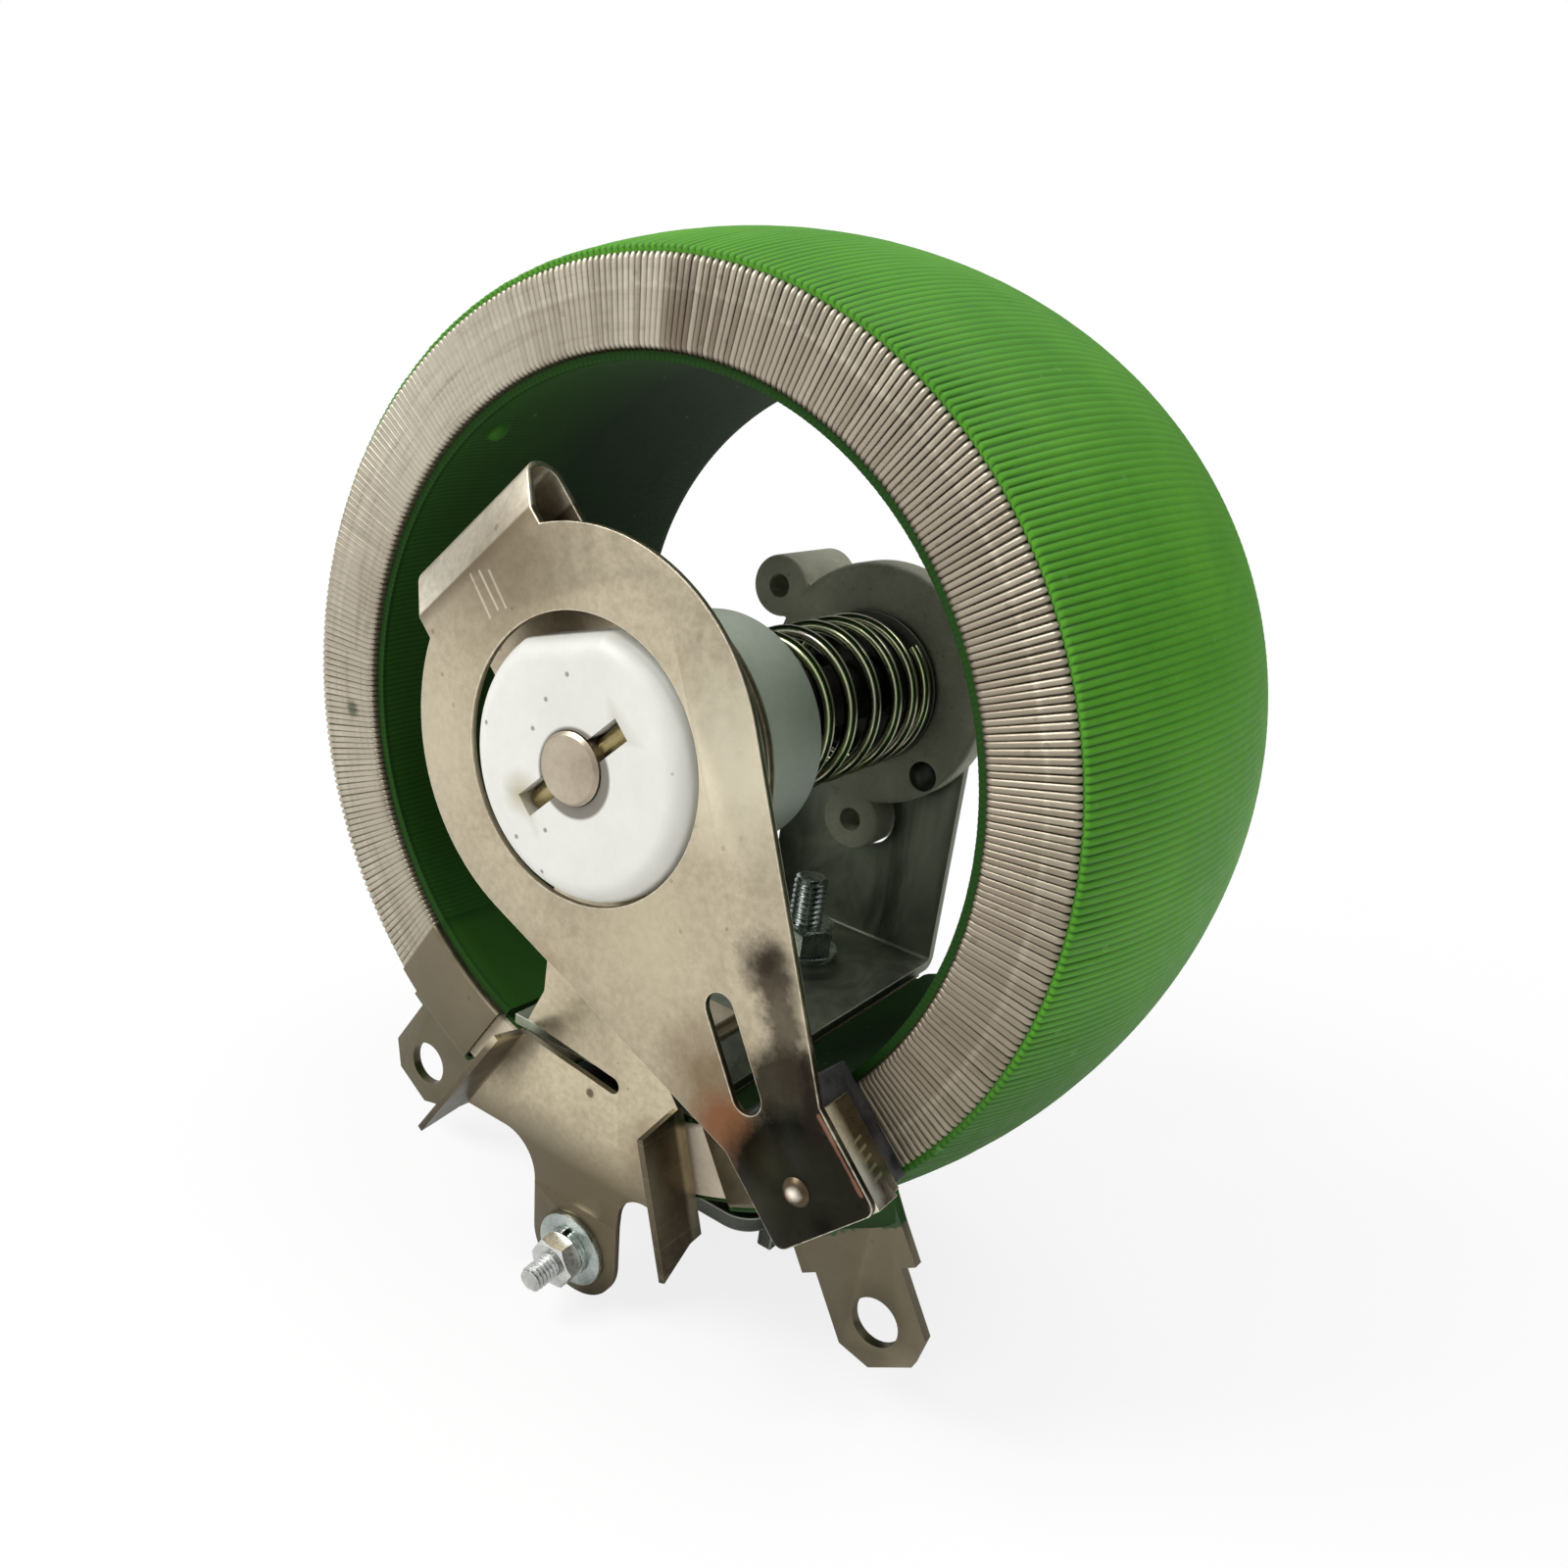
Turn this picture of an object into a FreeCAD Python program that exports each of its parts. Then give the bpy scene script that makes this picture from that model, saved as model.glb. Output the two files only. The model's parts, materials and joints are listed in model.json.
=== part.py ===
import FreeCAD, Part
import math
import os

# Open ring rheostat. Millimetres. Origin on the shaft axis, on the panel face
# that the three bracket ears stand on. +Y is the knob side, -Y the wiper side,
# +Z is up. Depths called "back" run from the wiper track towards the panel.

V = FreeCAD.Vector

# Ring
ring_outer_r = 65.0
track_width = 13.0
ring_bore_r = ring_outer_r - track_width
ring_depth = 69.5
wall_bulge = 5.5
gap_half_at_bore = 15.2
gap_half_angle = math.degrees(math.asin(gap_half_at_bore / ring_bore_r))
enamel_thick = 0.5
wire_thick = 0.9
layer_clear = 0.05
end_step = 0.9
track_corner_r = 1.2
rear_corner_r = 4.0
enamel_start_back = 0.7

# End bands and their lugs
band_centre_at_bore = 27.48
band_angle = math.degrees(math.asin(band_centre_at_bore / ring_bore_r))
band_half_width = 8.8
band_thick = 0.8
lug_back = 11.5
lug_head_half = 10.0
lug_head_end_r = ring_outer_r + 14.0
lug_half_width = 7.5
lug_tip_r = ring_outer_r + 28.3
lug_chamfer = 3.7
lug_hole_d = 7.5
lug_hole_at_r = lug_tip_r - 6.6

# Collector plate with its two stop wings and the terminal tongue
sheet = 1.0
collector_outer_r = 24.0
collector_clear = 0.7
neck_half = 10.0
neck_low_z = 12.0 - ring_bore_r
wing_reach = 8.0
right_wing = {"side": 1, "bottom_angle": 19.0, "lean": 0.0, "root": 18.8, "front": (-17.6, 2.9)}
left_wing = {"side": -1, "bottom_angle": 20.7, "lean": 11.8, "root": 20.9, "front": (-24.0, 2.2)}
plate_bottom_z = -0.3 - ring_outer_r
tongue_half = 8.2
tongue_bend_z = plate_bottom_z - 6.7
tongue_end_z = tongue_bend_z - 16.0
tongue_tilt = 6.0
left_fillet = 7.0
right_fillet = 4.5
slot_centre = (-4.2, 3.8 - ring_bore_r)
slot_length = 20.0
slot_width = 2.6
slot_tilt = -7.0
terminal_z = tongue_bend_z - 7.8

# M4 terminal hardware
m4_r = 2.0
m4_hole_r = 2.15
m4_nut_flats = 7.0
m4_nut_high = 3.2
terminal_washer_r = 6.0
terminal_washer_thick = 1.0
lock_washer_r = 3.8
lock_washer_thick = 1.0
terminal_screw_ahead = 10.5
terminal_head_r = 3.5
terminal_head_high = 2.4

# Hub, shaft and wiper, on the turning side
shaft_r = 5.0
shaft_front_back = -12.25
shaft_knob_length = 28.0
shaft_chamfer = 0.5
hub_bore_clear = 0.1
cap_r = 18.6
cap_front_back = -11.5
cap_round = 3.4
cap_flat_at = 17.1
cap_flat_angle = 107.0
spigot_r = 14.7
spigot_flat_at = 12.5
spigot_length = 2.6
spigot_clear = 0.25
sleeve_r = 17.5
sleeve_rear_back = 21.5
pin_r = 1.5
pin_half_length = 10.0
pin_back = -9.0
pin_slot_clear = 0.15
pin_slot_half = 10.6

wiper_angle = -45.0
wiper_front_back = -10.0
leaf_clear = 0.1
wiper_disc_r = 29.2
wiper_disc_at = (-2.2, 0.9)
wiper_hole_r = 19.6
wiper_hole_at = (-0.6, 0.3)
rear_leaf_r = 24.0
tab_half = 13.5
fold_crease_u = -31.0
fold_end_u = -38.0
fold_tilt = 28.4
tip_half = 8.7
tip_start_u = ring_bore_r
tip_end_u = ring_outer_r + 1.0
tip_corner = 1.6
wiper_slot_half = 2.2
wiper_slot_end = (ring_bore_r - 4.8, -1.2)
wiper_slot_reach = 11.6
wiper_slot_lean = -15.0

holder_half = 8.5
holder_wall = 0.8
holder_reach = 5.4
holder_start_u = ring_bore_r + 0.3
brush_half = 7.6
brush_start_u = ring_bore_r - 3.0
brush_end_u = ring_outer_r
track_clear = 0.05
rivet_at = (ring_outer_r - 5.0, -1.2)
rivet_r = 1.2
rivet_head_r = 2.0
rivet_head_high = 0.9
rivet_depth = 2.5

# Return spring
coil_mean_r = 12.1
coil_wire_r = 0.9
coil_turns = 7
coil_clear = 0.15

# Bracket, bearing casting and bush
bracket_sheet = 1.6
bracket_half = 17.5
flange_front_back = ring_depth - 5.0
flange_thick = 5.5
leg_front_back = flange_front_back + flange_thick
leg_top_r = 19.0
bracket_bend_r = 2.4
foot_front_back = 1.5
flange_r = 21.0
boss_r = 11.0
ear_length = 17.0
boss_short = 3.5
boss_rear_back = flange_front_back + ear_length - boss_short
casting_round = 1.0
ear_angles = (30.0, 150.0, 270.0)
ear_circle_r = 25.0
ear_r = 5.5
ear_hole_r = 2.1
ear_web = 8.0
rib_thick = 3.0
rib_gap = 0.3
web_overlap = 4.0
rib_overlap = 2.0
leg_hole_clear = 0.4
bush_r = 7.0
bush_collar_r = 9.5
bush_collar = 1.0
bush_proud = 0.3
running_clear = 0.04
casting_rivet_r = 1.5
casting_rivet_head_r = 2.6
casting_rivet_head = 1.2
casting_rivet_at = (12.5, -13.0)

# Shaft retention
seat_washer_r = 13.1
washer_thick = 0.8
washer_clear = 0.1
rear_washer_r = 8.5
clip_r = 8.0
clip_thick = 1.1
groove_r = 4.1
clip_mouth_half = 3.0

# M6 clamp through the gap
m6_r = 3.0
m6_hole_r = 3.3
m6_flats = 10.0
m6_nut_high = 5.0
m6_head_high = 4.0
m6_washer_r = 6.0
m6_washer_thick = 1.2
clamp_backs = (16.0, ring_depth - 14.3)
clamp_bolt_length = 36.0
saddle_half = 26.0
saddle_thick = 2.5
saddle_lip = 5.0
saddle_start_back = 8.0
saddle_end_back = ring_depth - 7.5
foot_mica_thick = 0.4
carrier_half = 7.0
carrier_end_back = 26.0
carrier_rise = 8.4
carrier_mica_thick = 0.5
carrier_mica_half = 8.5
fibre_washer_r = 7.0
fibre_washer_thick = 1.0
fibre_bush_r = 4.4

track_y = -(flange_front_back + ear_length)
seat_clear = 0.05


def at_back(back):
    """Y of a place this far behind the wiper track."""
    return track_y + back


def polar(radius, angle):
    """X and Z of a point at an angle from +X towards +Z."""
    a = math.radians(angle)
    return radius * math.cos(a), radius * math.sin(a)


def along(angle, u, v):
    """X and Z of a point u outward along an angle and v counter-clockwise of it."""
    ux, uz = polar(1.0, angle)
    return u * ux - v * uz, u * uz + v * ux


def outline(path, y):
    """Closed face in a plane of constant Y. A step with two points is an arc."""
    edges = []
    start = V(path[0][0], y, path[0][1])
    here = start
    for step in list(path[1:]) + [path[0]]:
        if isinstance(step[0], tuple):
            middle = V(step[0][0], y, step[0][1])
            there = V(step[1][0], y, step[1][1])
            edges.append(Part.Arc(here, middle, there).toShape())
        else:
            there = V(step[0], y, step[1])
            if here.distanceToPoint(there) > 1e-6:
                edges.append(Part.LineSegment(here, there).toShape())
        here = there
    return Part.Face(Part.Wire(edges))


def plate(path, y, thick):
    """Flat sheet from an outline in X and Z."""
    return outline(path, y).extrude(V(0, thick, 0))


def rod(radius, y, length, x=0.0, z=0.0):
    """Cylinder along Y."""
    return Part.makeCylinder(radius, length, V(x, y, z), V(0, 1, 0))


def washer(outer_r, inner_r, y, length, x=0.0, z=0.0):
    """Ring along Y."""
    return rod(outer_r, y, length, x, z).cut(rod(inner_r, y - 1, length + 2, x, z))


def upright(radius, y, z, height, x=0.0):
    """Cylinder along Z."""
    return Part.makeCylinder(radius, height, V(x, y, z), V(0, 0, 1))


def hexagon(flats, base, height, axis):
    """Hexagonal prism that stands on a point, along an axis."""
    radius = flats / math.sqrt(3.0)
    turn = FreeCAD.Rotation(V(0, 0, 1), axis)
    points = []
    for k in range(7):
        a = math.radians(60.0 * k)
        points.append(base + turn.multVec(V(radius * math.cos(a), radius * math.sin(a), 0)))
    return Part.Face(Part.makePolygon(points)).extrude(axis * height)


def block(x0, x1, y0, y1, z0, z1):
    """Box between two corners."""
    return Part.makeBox(x1 - x0, y1 - y0, z1 - z0, V(x0, y0, z0))


def mirrored(shape):
    """The same piece on the other side of the middle plane."""
    return shape.mirror(V(0, 0, 0), V(1, 0, 0))


def fused(shapes):
    """One solid from overlapping ones."""
    whole = shapes[0]
    for shape in shapes[1:]:
        whole = whole.fuse(shape)
    return whole.removeSplitter()


# Ring section

def dome_r(back, margin=0.0):
    """Radius of the domed outer wall at a depth, with a layer taken off."""
    half = ring_depth / 2.0
    dome = (half * half + wall_bulge * wall_bulge) / (2.0 * wall_bulge)
    centre = ring_outer_r + wall_bulge - dome
    return centre + math.sqrt((dome - margin) ** 2 - (back - half) ** 2)


def ring_body(front, margin, low, high, track_corner, rear_corner):
    """Sector of the ring with a layer taken off its front and its other walls."""
    inner = ring_bore_r + margin
    rear = ring_depth - margin
    a = V(inner, at_back(front), 0)
    b = V(dome_r(front, margin), at_back(front), 0)
    m = V(dome_r(ring_depth / 2.0, margin), at_back(ring_depth / 2.0), 0)
    c = V(dome_r(rear, margin), at_back(rear), 0)
    d = V(inner, at_back(rear), 0)
    section = Part.Wire([
        Part.LineSegment(a, b).toShape(),
        Part.Arc(b, m, c).toShape(),
        Part.LineSegment(c, d).toShape(),
        Part.LineSegment(d, a).toShape(),
    ])
    face = Part.Face(section)
    face.rotate(V(0, 0, 0), V(0, -1, 0), low)
    body = face.revolve(V(0, 0, 0), V(0, -1, 0), high - low)
    for corner, back in ((track_corner, front), (rear_corner, rear)):
        if corner > 0:
            rims = [e for e in body.Edges if is_rim(e, at_back(back))]
            body = body.makeFillet(corner, rims)
    return body


def is_rim(edge, y):
    """True for a circular edge around the shaft axis at this Y."""
    if not isinstance(edge.Curve, Part.Circle):
        return False
    if abs(abs(edge.Curve.Axis.y) - 1.0) > 1e-6:
        return False
    return abs(edge.Curve.Center.y - y) < 1e-6


right_band = -90.0 + band_angle
gap_low = -90.0 + gap_half_angle
gap_high = 270.0 - gap_half_angle
core_margin = enamel_thick + wire_thick + layer_clear
core_front = wire_thick + layer_clear
far_r = ring_outer_r + 60.0


def gap_side(offset):
    """Space on the gap side of the right band's edge, moved by an offset."""
    edge = -(band_half_width + offset)
    corners = [(10.0, edge), (far_r, edge), (far_r, -far_r), (10.0, -far_r)]
    path = [along(right_band, u, v) for u, v in corners]
    space = plate(path, at_back(-10.0), ring_depth + 30.0)
    return space.common(block(0.0, far_r, at_back(-20.0), at_back(ring_depth + 30.0), -far_r, 0.0))


def both_sides(shape):
    """A piece of space and its mirror image."""
    return shape.fuse(mirrored(shape))


def ceramic_core():
    body = ring_body(core_front, core_margin, gap_low, gap_high, 0.5, rear_corner_r - 1.45)
    return body


def winding():
    low = right_band
    high = 180.0 - right_band
    outer = ring_body(0.0, enamel_thick, low, high, track_corner_r, rear_corner_r - enamel_thick)
    inner_margin = enamel_thick + wire_thick
    inner = ring_body(wire_thick, inner_margin, low - 1, high + 1, 0.4, rear_corner_r - inner_margin)
    layer = outer.cut(inner)
    beside = -(2 * band_half_width + 2 * layer_clear)
    return layer.cut(both_sides(gap_side(beside)))


def enamel():
    full = ring_body(enamel_start_back, 0.0, gap_low, gap_high, 0.0, rear_corner_r)
    high_part = full.cut(both_sides(gap_side(layer_clear + enamel_thick)))
    low_part = ring_body(core_front + 0.3, end_step, gap_low, gap_high, 0.0, rear_corner_r - end_step)
    coat = high_part.fuse(low_part)
    wound = ring_body(-1.0, enamel_thick, gap_low, gap_high, 0.0, rear_corner_r - enamel_thick)
    coat = coat.cut(wound.cut(both_sides(gap_side(layer_clear))))
    bare = ring_body(-1.0, core_margin - layer_clear, gap_low - 1, gap_high + 1, 0.0, rear_corner_r - 1.4)
    coat = coat.cut(bare)
    return coat.cut(both_sides(lug_space())).removeSplitter()


def lug_space():
    """Slot that the right lug needs in the enamel."""
    half = lug_head_half + layer_clear
    corners = [(ring_bore_r + 5, -half), (far_r, -half), (far_r, half), (ring_bore_r + 5, half)]
    path = [along(right_band, u, v) for u, v in corners]
    return plate(path, at_back(lug_back - layer_clear), 2 * band_thick + 2 * layer_clear)


def right_end_band():
    """Strap round the ring whose two ends meet as a lug."""
    outer = ring_body(0.0, enamel_thick, gap_low, 0.0, 0.8, rear_corner_r - enamel_thick)
    inner_margin = enamel_thick + band_thick
    inner = ring_body(band_thick, inner_margin, gap_low - 1, 1.0, 0.0, rear_corner_r - inner_margin)
    h = band_half_width
    width = plate([along(right_band, u, v) for u, v in ((20, -h), (far_r, -h), (far_r, h), (20, h))],
                  at_back(-5.0), ring_depth + 10.0)
    strap = outer.cut(inner).common(width)
    head, half, tip, c = lug_head_half, lug_half_width, lug_tip_r, lug_chamfer
    corners = [(ring_bore_r + 8, -head), (lug_head_end_r, -head), (lug_head_end_r, -half), (tip - c, -half),
               (tip, -half + c), (tip, half - c), (tip - c, half), (lug_head_end_r, half),
               (lug_head_end_r, head), (ring_bore_r + 8, head)]
    y = at_back(lug_back)
    lug = plate([along(right_band, u, v) for u, v in corners], y, 2 * band_thick)
    hx, hz = along(right_band, lug_hole_at_r, 0.0)
    lug = lug.cut(rod(lug_hole_d / 2.0, y - 1, 2 * band_thick + 2, hx, hz))
    return strap.fuse(lug.cut(inner)).removeSplitter()


# Collector plate

def wing_line(w):
    """Bottom of a wing's root, and the direction of the root outward."""
    root_r = abs(plate_bottom_z) / math.cos(math.radians(w["bottom_angle"]))
    bottom = polar(root_r, -90.0 + w["side"] * w["bottom_angle"])
    return bottom, -90.0 + w["side"] * (w["bottom_angle"] + w["lean"])


def wing_top(w):
    """Top of a wing's root, on its outer side."""
    bottom, direction = wing_line(w)
    dx, dz = polar(-w["root"], direction)
    return bottom[0] + dx, bottom[1] + dz


def wing(w):
    """Stop wing bent forward from the plate along its root line."""
    (rx, rz), direction = wing_line(w)
    s0, s1 = w["front"]
    profile = [(-w["root"], 0.0), (s0, -wing_reach), (s1, -wing_reach), (s1 - 2.7, -1.6), (0.0, sheet)]
    points = []
    for s, depth in profile + [profile[0]]:
        dx, dz = polar(s, direction)
        points.append(V(rx + dx, at_back(-sheet) + depth, rz + dz))
    nx, nz = polar(sheet, direction - w["side"] * 90.0)
    return Part.Face(Part.makePolygon(points)).extrude(V(nx, 0, nz))


def fillet_step(x_side, sign, radius):
    """Arc from the plate's bottom edge into the tongue's side."""
    k = radius * (1.0 - math.sqrt(0.5))
    middle = (x_side + sign * k, plate_bottom_z - k)
    return middle


def collector_plate():
    y = at_back(-sheet)
    right_top, right_low = wing_top(right_wing), wing_line(right_wing)[0]
    left_top, left_low = wing_top(left_wing), wing_line(left_wing)[0]
    t = tongue_half
    path = [
        (neck_half, 0.0),
        (neck_half, neck_low_z),
        right_top,
        right_low,
        (t + right_fillet, plate_bottom_z),
        (fillet_step(t, 1, right_fillet), (t, plate_bottom_z - right_fillet)),
        (t, tongue_bend_z),
        (-t, tongue_bend_z),
        (-t, plate_bottom_z - left_fillet),
        (fillet_step(-t, -1, left_fillet), (-t - left_fillet, plate_bottom_z)),
        left_low,
        left_top,
        (-neck_half, neck_low_z),
        (-neck_half, 0.0),
    ]
    body = plate(path, y, sheet).fuse(rod(collector_outer_r, y, sheet))
    body = body.cut(rod(sleeve_r + collector_clear, y - 1, sheet + 2))
    half = slot_length / 2.0 - slot_width / 2.0
    cx, cz = slot_centre
    w = slot_width / 2.0
    turn = slot_tilt
    corners = [along(turn, half, -w), along(turn, half + w, 0), along(turn, half, w),
               along(turn, -half, w), along(turn, -half - w, 0), along(turn, -half, -w)]
    moved = [(cx + px, cz + pz) for px, pz in corners]
    slot = plate([moved[0], (moved[1], moved[2]), moved[3], (moved[4], moved[5])], y - 1, sheet + 2)
    body = body.cut(slot)
    body = body.fuse(wing(right_wing)).fuse(wing(left_wing))
    return body.fuse(tilted(tongue_flap())).removeSplitter()


def tongue_flap():
    """Lower end of the tongue, before it is bent back."""
    y = at_back(-sheet)
    t = tongue_half
    round_z = tongue_end_z + t
    path = [(t, tongue_bend_z), (t, round_z), ((0.0, tongue_end_z), (-t, round_z)), (-t, tongue_bend_z)]
    flap = plate(path, y, sheet)
    return flap.cut(rod(m4_hole_r, y - 1, sheet + 2, 0.0, terminal_z))


def tilted(shape):
    """Turn a piece with the bent end of the tongue."""
    turned = shape.copy()
    turned.rotate(V(0, at_back(-sheet / 2.0), tongue_bend_z), V(1, 0, 0), tongue_tilt)
    return turned


def terminal_screw():
    y = at_back(0.0)
    length = terminal_screw_ahead
    shank = rod(m4_r, y - length, length, 0.0, terminal_z)
    ends = [e for e in shank.Edges if is_end(e, y - length)]
    shank = shank.makeChamfer(0.4, ends)
    head = rod(terminal_head_r, y, terminal_head_high, 0.0, terminal_z)
    head = head.makeFillet(0.8, [e for e in head.Edges if is_end(e, y + terminal_head_high)])
    return tilted(shank.fuse(head).removeSplitter())


def is_end(edge, y):
    """True for a round edge at this Y, whatever its centre."""
    return isinstance(edge.Curve, Part.Circle) and abs(edge.Curve.Center.y - y) < 1e-6


def terminal_washer():
    y = at_back(-sheet) - terminal_washer_thick
    return tilted(washer(terminal_washer_r, m4_hole_r, y, terminal_washer_thick, 0.0, terminal_z))


def terminal_lock_washer():
    y = at_back(-sheet) - terminal_washer_thick - lock_washer_thick
    ring = washer(lock_washer_r, m4_hole_r, y, lock_washer_thick, 0.0, terminal_z)
    split = block(-0.5, 0.5, y - 1, y + lock_washer_thick + 1, terminal_z, terminal_z + 5)
    return tilted(ring.cut(split))


def terminal_nut():
    y = at_back(-sheet) - terminal_washer_thick - lock_washer_thick
    nut = hexagon(m4_nut_flats, V(0, y, terminal_z), m4_nut_high, V(0, -1, 0))
    return tilted(nut.cut(rod(m4_hole_r, y - 10, 20, 0.0, terminal_z)))


# Clamp in the gap

step_bore_r = ring_bore_r + end_step
mica_low_z = -math.sqrt(step_bore_r ** 2 - bracket_half ** 2) + seat_clear
foot_low_z = mica_low_z + foot_mica_thick
foot_top_z = foot_low_z + bracket_sheet
gap_corner_r = dome_r(ring_depth / 2.0, end_step)
saddle_top_z = -gap_corner_r * math.cos(math.radians(gap_half_angle)) - seat_clear
saddle_low_z = saddle_top_z - saddle_thick
carrier_low_z = foot_top_z + carrier_mica_thick
carrier_flat_z = carrier_low_z + sheet
carrier_top_z = carrier_flat_z + carrier_rise


def bolt_holes(radius, backs=clamp_backs):
    """Upright holes for the clamp bolts."""
    holes = [upright(radius, at_back(b), saddle_low_z - 20, 60) for b in backs]
    return fuse_loose(holes)


def fuse_loose(shapes):
    """Separate solids in one shape."""
    return Part.Compound(shapes)


def foot_mica():
    sheet_body = block(-bracket_half, bracket_half, at_back(foot_front_back + 0.5),
                       at_back(leg_front_back - 3.0), mica_low_z, foot_low_z)
    return sheet_body.cut(bolt_holes(m6_hole_r))


def clamp_saddle():
    """Channel below the ring that bears on the two ends of the gap."""
    y0, y1 = at_back(saddle_start_back), at_back(saddle_end_back)
    body = block(-saddle_half, saddle_half, y0, y1, saddle_low_z, saddle_top_z)
    long_edges = [e for e in body.Edges if abs(e.tangentAt(e.FirstParameter).z) > 0.9]
    body = body.makeFillet(5.0, long_edges)
    for x in (-saddle_half, saddle_half - saddle_thick):
        body = body.fuse(block(x, x + saddle_thick, y0 + 6, y1 - 6, saddle_low_z - saddle_lip, saddle_top_z))
    return body.removeSplitter().cut(bolt_holes(m6_hole_r))


def clamp_bolts():
    bolts = []
    for back in clamp_backs:
        y = at_back(back)
        shank = upright(m6_r, y, saddle_low_z, clamp_bolt_length)
        tip = [e for e in shank.Edges if abs(e.CenterOfMass.z - saddle_low_z - clamp_bolt_length) < 1e-6]
        shank = shank.makeChamfer(0.6, tip)
        head = hexagon(m6_flats, V(0, y, saddle_low_z), m6_head_high, V(0, 0, -1))
        bolts.append(shank.fuse(head).removeSplitter())
    return fuse_loose(bolts)


def nut_seats():
    """Top of what each clamp nut's washer stands on."""
    return (carrier_flat_z + fibre_washer_thick, foot_top_z)


def clamp_washers():
    rings = []
    for back, z in zip(clamp_backs, nut_seats()):
        ring = upright(m6_washer_r, at_back(back), z, m6_washer_thick)
        rings.append(ring.cut(upright(m6_hole_r, at_back(back), z - 1, m6_washer_thick + 2)))
    return fuse_loose(rings)


def clamp_nuts():
    nuts = []
    for back, z in zip(clamp_backs, nut_seats()):
        low = z + m6_washer_thick
        nut = hexagon(m6_flats, V(0, at_back(back), low), m6_nut_high, V(0, 0, 1))
        nuts.append(nut.cut(upright(m6_r + 0.1, at_back(back), low - 1, m6_nut_high + 2)))
    return fuse_loose(nuts)


def collector_carrier():
    """Strap on the foot whose front end is turned up behind the collector plate."""
    y0, y1 = at_back(0.0), at_back(carrier_end_back)
    flat = block(-carrier_half, carrier_half, y0, y1, carrier_low_z, carrier_flat_z)
    front = block(-carrier_half, carrier_half, y0, y0 + sheet, carrier_low_z, carrier_top_z)
    body = flat.fuse(front).removeSplitter()
    return body.cut(upright(fibre_bush_r + 0.1, at_back(clamp_backs[0]), carrier_low_z - 1, 4))


def carrier_mica():
    body = block(-carrier_mica_half, carrier_mica_half, at_back(foot_front_back + 0.5),
                 at_back(carrier_end_back + 1.5), foot_top_z, carrier_low_z)
    return body.cut(upright(m6_hole_r, at_back(clamp_backs[0]), foot_top_z - 1, 4))


def fibre_washer():
    """Shouldered washer that keeps the front bolt clear of the carrier."""
    y = at_back(clamp_backs[0])
    ring = upright(fibre_washer_r, y, carrier_flat_z, fibre_washer_thick)
    neck = upright(fibre_bush_r, y, carrier_low_z, sheet + 0.1)
    return ring.fuse(neck).removeSplitter().cut(upright(m6_hole_r, y, carrier_low_z - 1, 6))


# Bracket and bearing

def mounting_bracket():
    """Sheet bracket: an upright leg that turns forward into the clamped foot."""
    leg_y = at_back(leg_front_back)
    r = leg_top_r
    shoulder_z = -math.sqrt(max(r * r - bracket_half ** 2, 1.0))
    angle = math.degrees(math.atan2(shoulder_z, bracket_half))
    path = [polar(r, angle), ((0.0, r), polar(r, 180.0 - angle)), (-bracket_half, shoulder_z),
            (-bracket_half, foot_low_z), (bracket_half, foot_low_z), (bracket_half, shoulder_z)]
    leg = plate(path, leg_y, bracket_sheet)
    foot = block(-bracket_half, bracket_half, at_back(foot_front_back), leg_y + bracket_sheet,
                 foot_low_z, foot_top_z)
    body = leg.fuse(foot).removeSplitter()
    outer = [e for e in body.Edges if is_bend(e, leg_y + bracket_sheet, foot_low_z)]
    body = body.makeFillet(bracket_bend_r, outer)
    inner = [e for e in body.Edges if is_bend(e, leg_y, foot_top_z)]
    body = body.makeFillet(bracket_bend_r - bracket_sheet, inner)
    body = body.cut(bolt_holes(m6_hole_r))
    ex, ez = polar(ear_circle_r, ear_angles[2])
    body = body.cut(rod(ear_r + leg_hole_clear, leg_y - 1, bracket_sheet + 2, ex, ez))
    body = body.cut(rod(boss_r + leg_hole_clear, leg_y - 1, bracket_sheet + 2))
    for side in (-1, 1):
        x, z = side * casting_rivet_at[0], casting_rivet_at[1]
        body = body.cut(rod(casting_rivet_r + 0.1, leg_y - 1, bracket_sheet + 2, x, z))
    return body


def is_bend(edge, y, z):
    """True for an edge along X at this Y and Z."""
    middle = edge.CenterOfMass
    return edge.Length > bracket_half and abs(middle.y - y) < 1e-6 and abs(middle.z - z) < 1e-6


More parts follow.
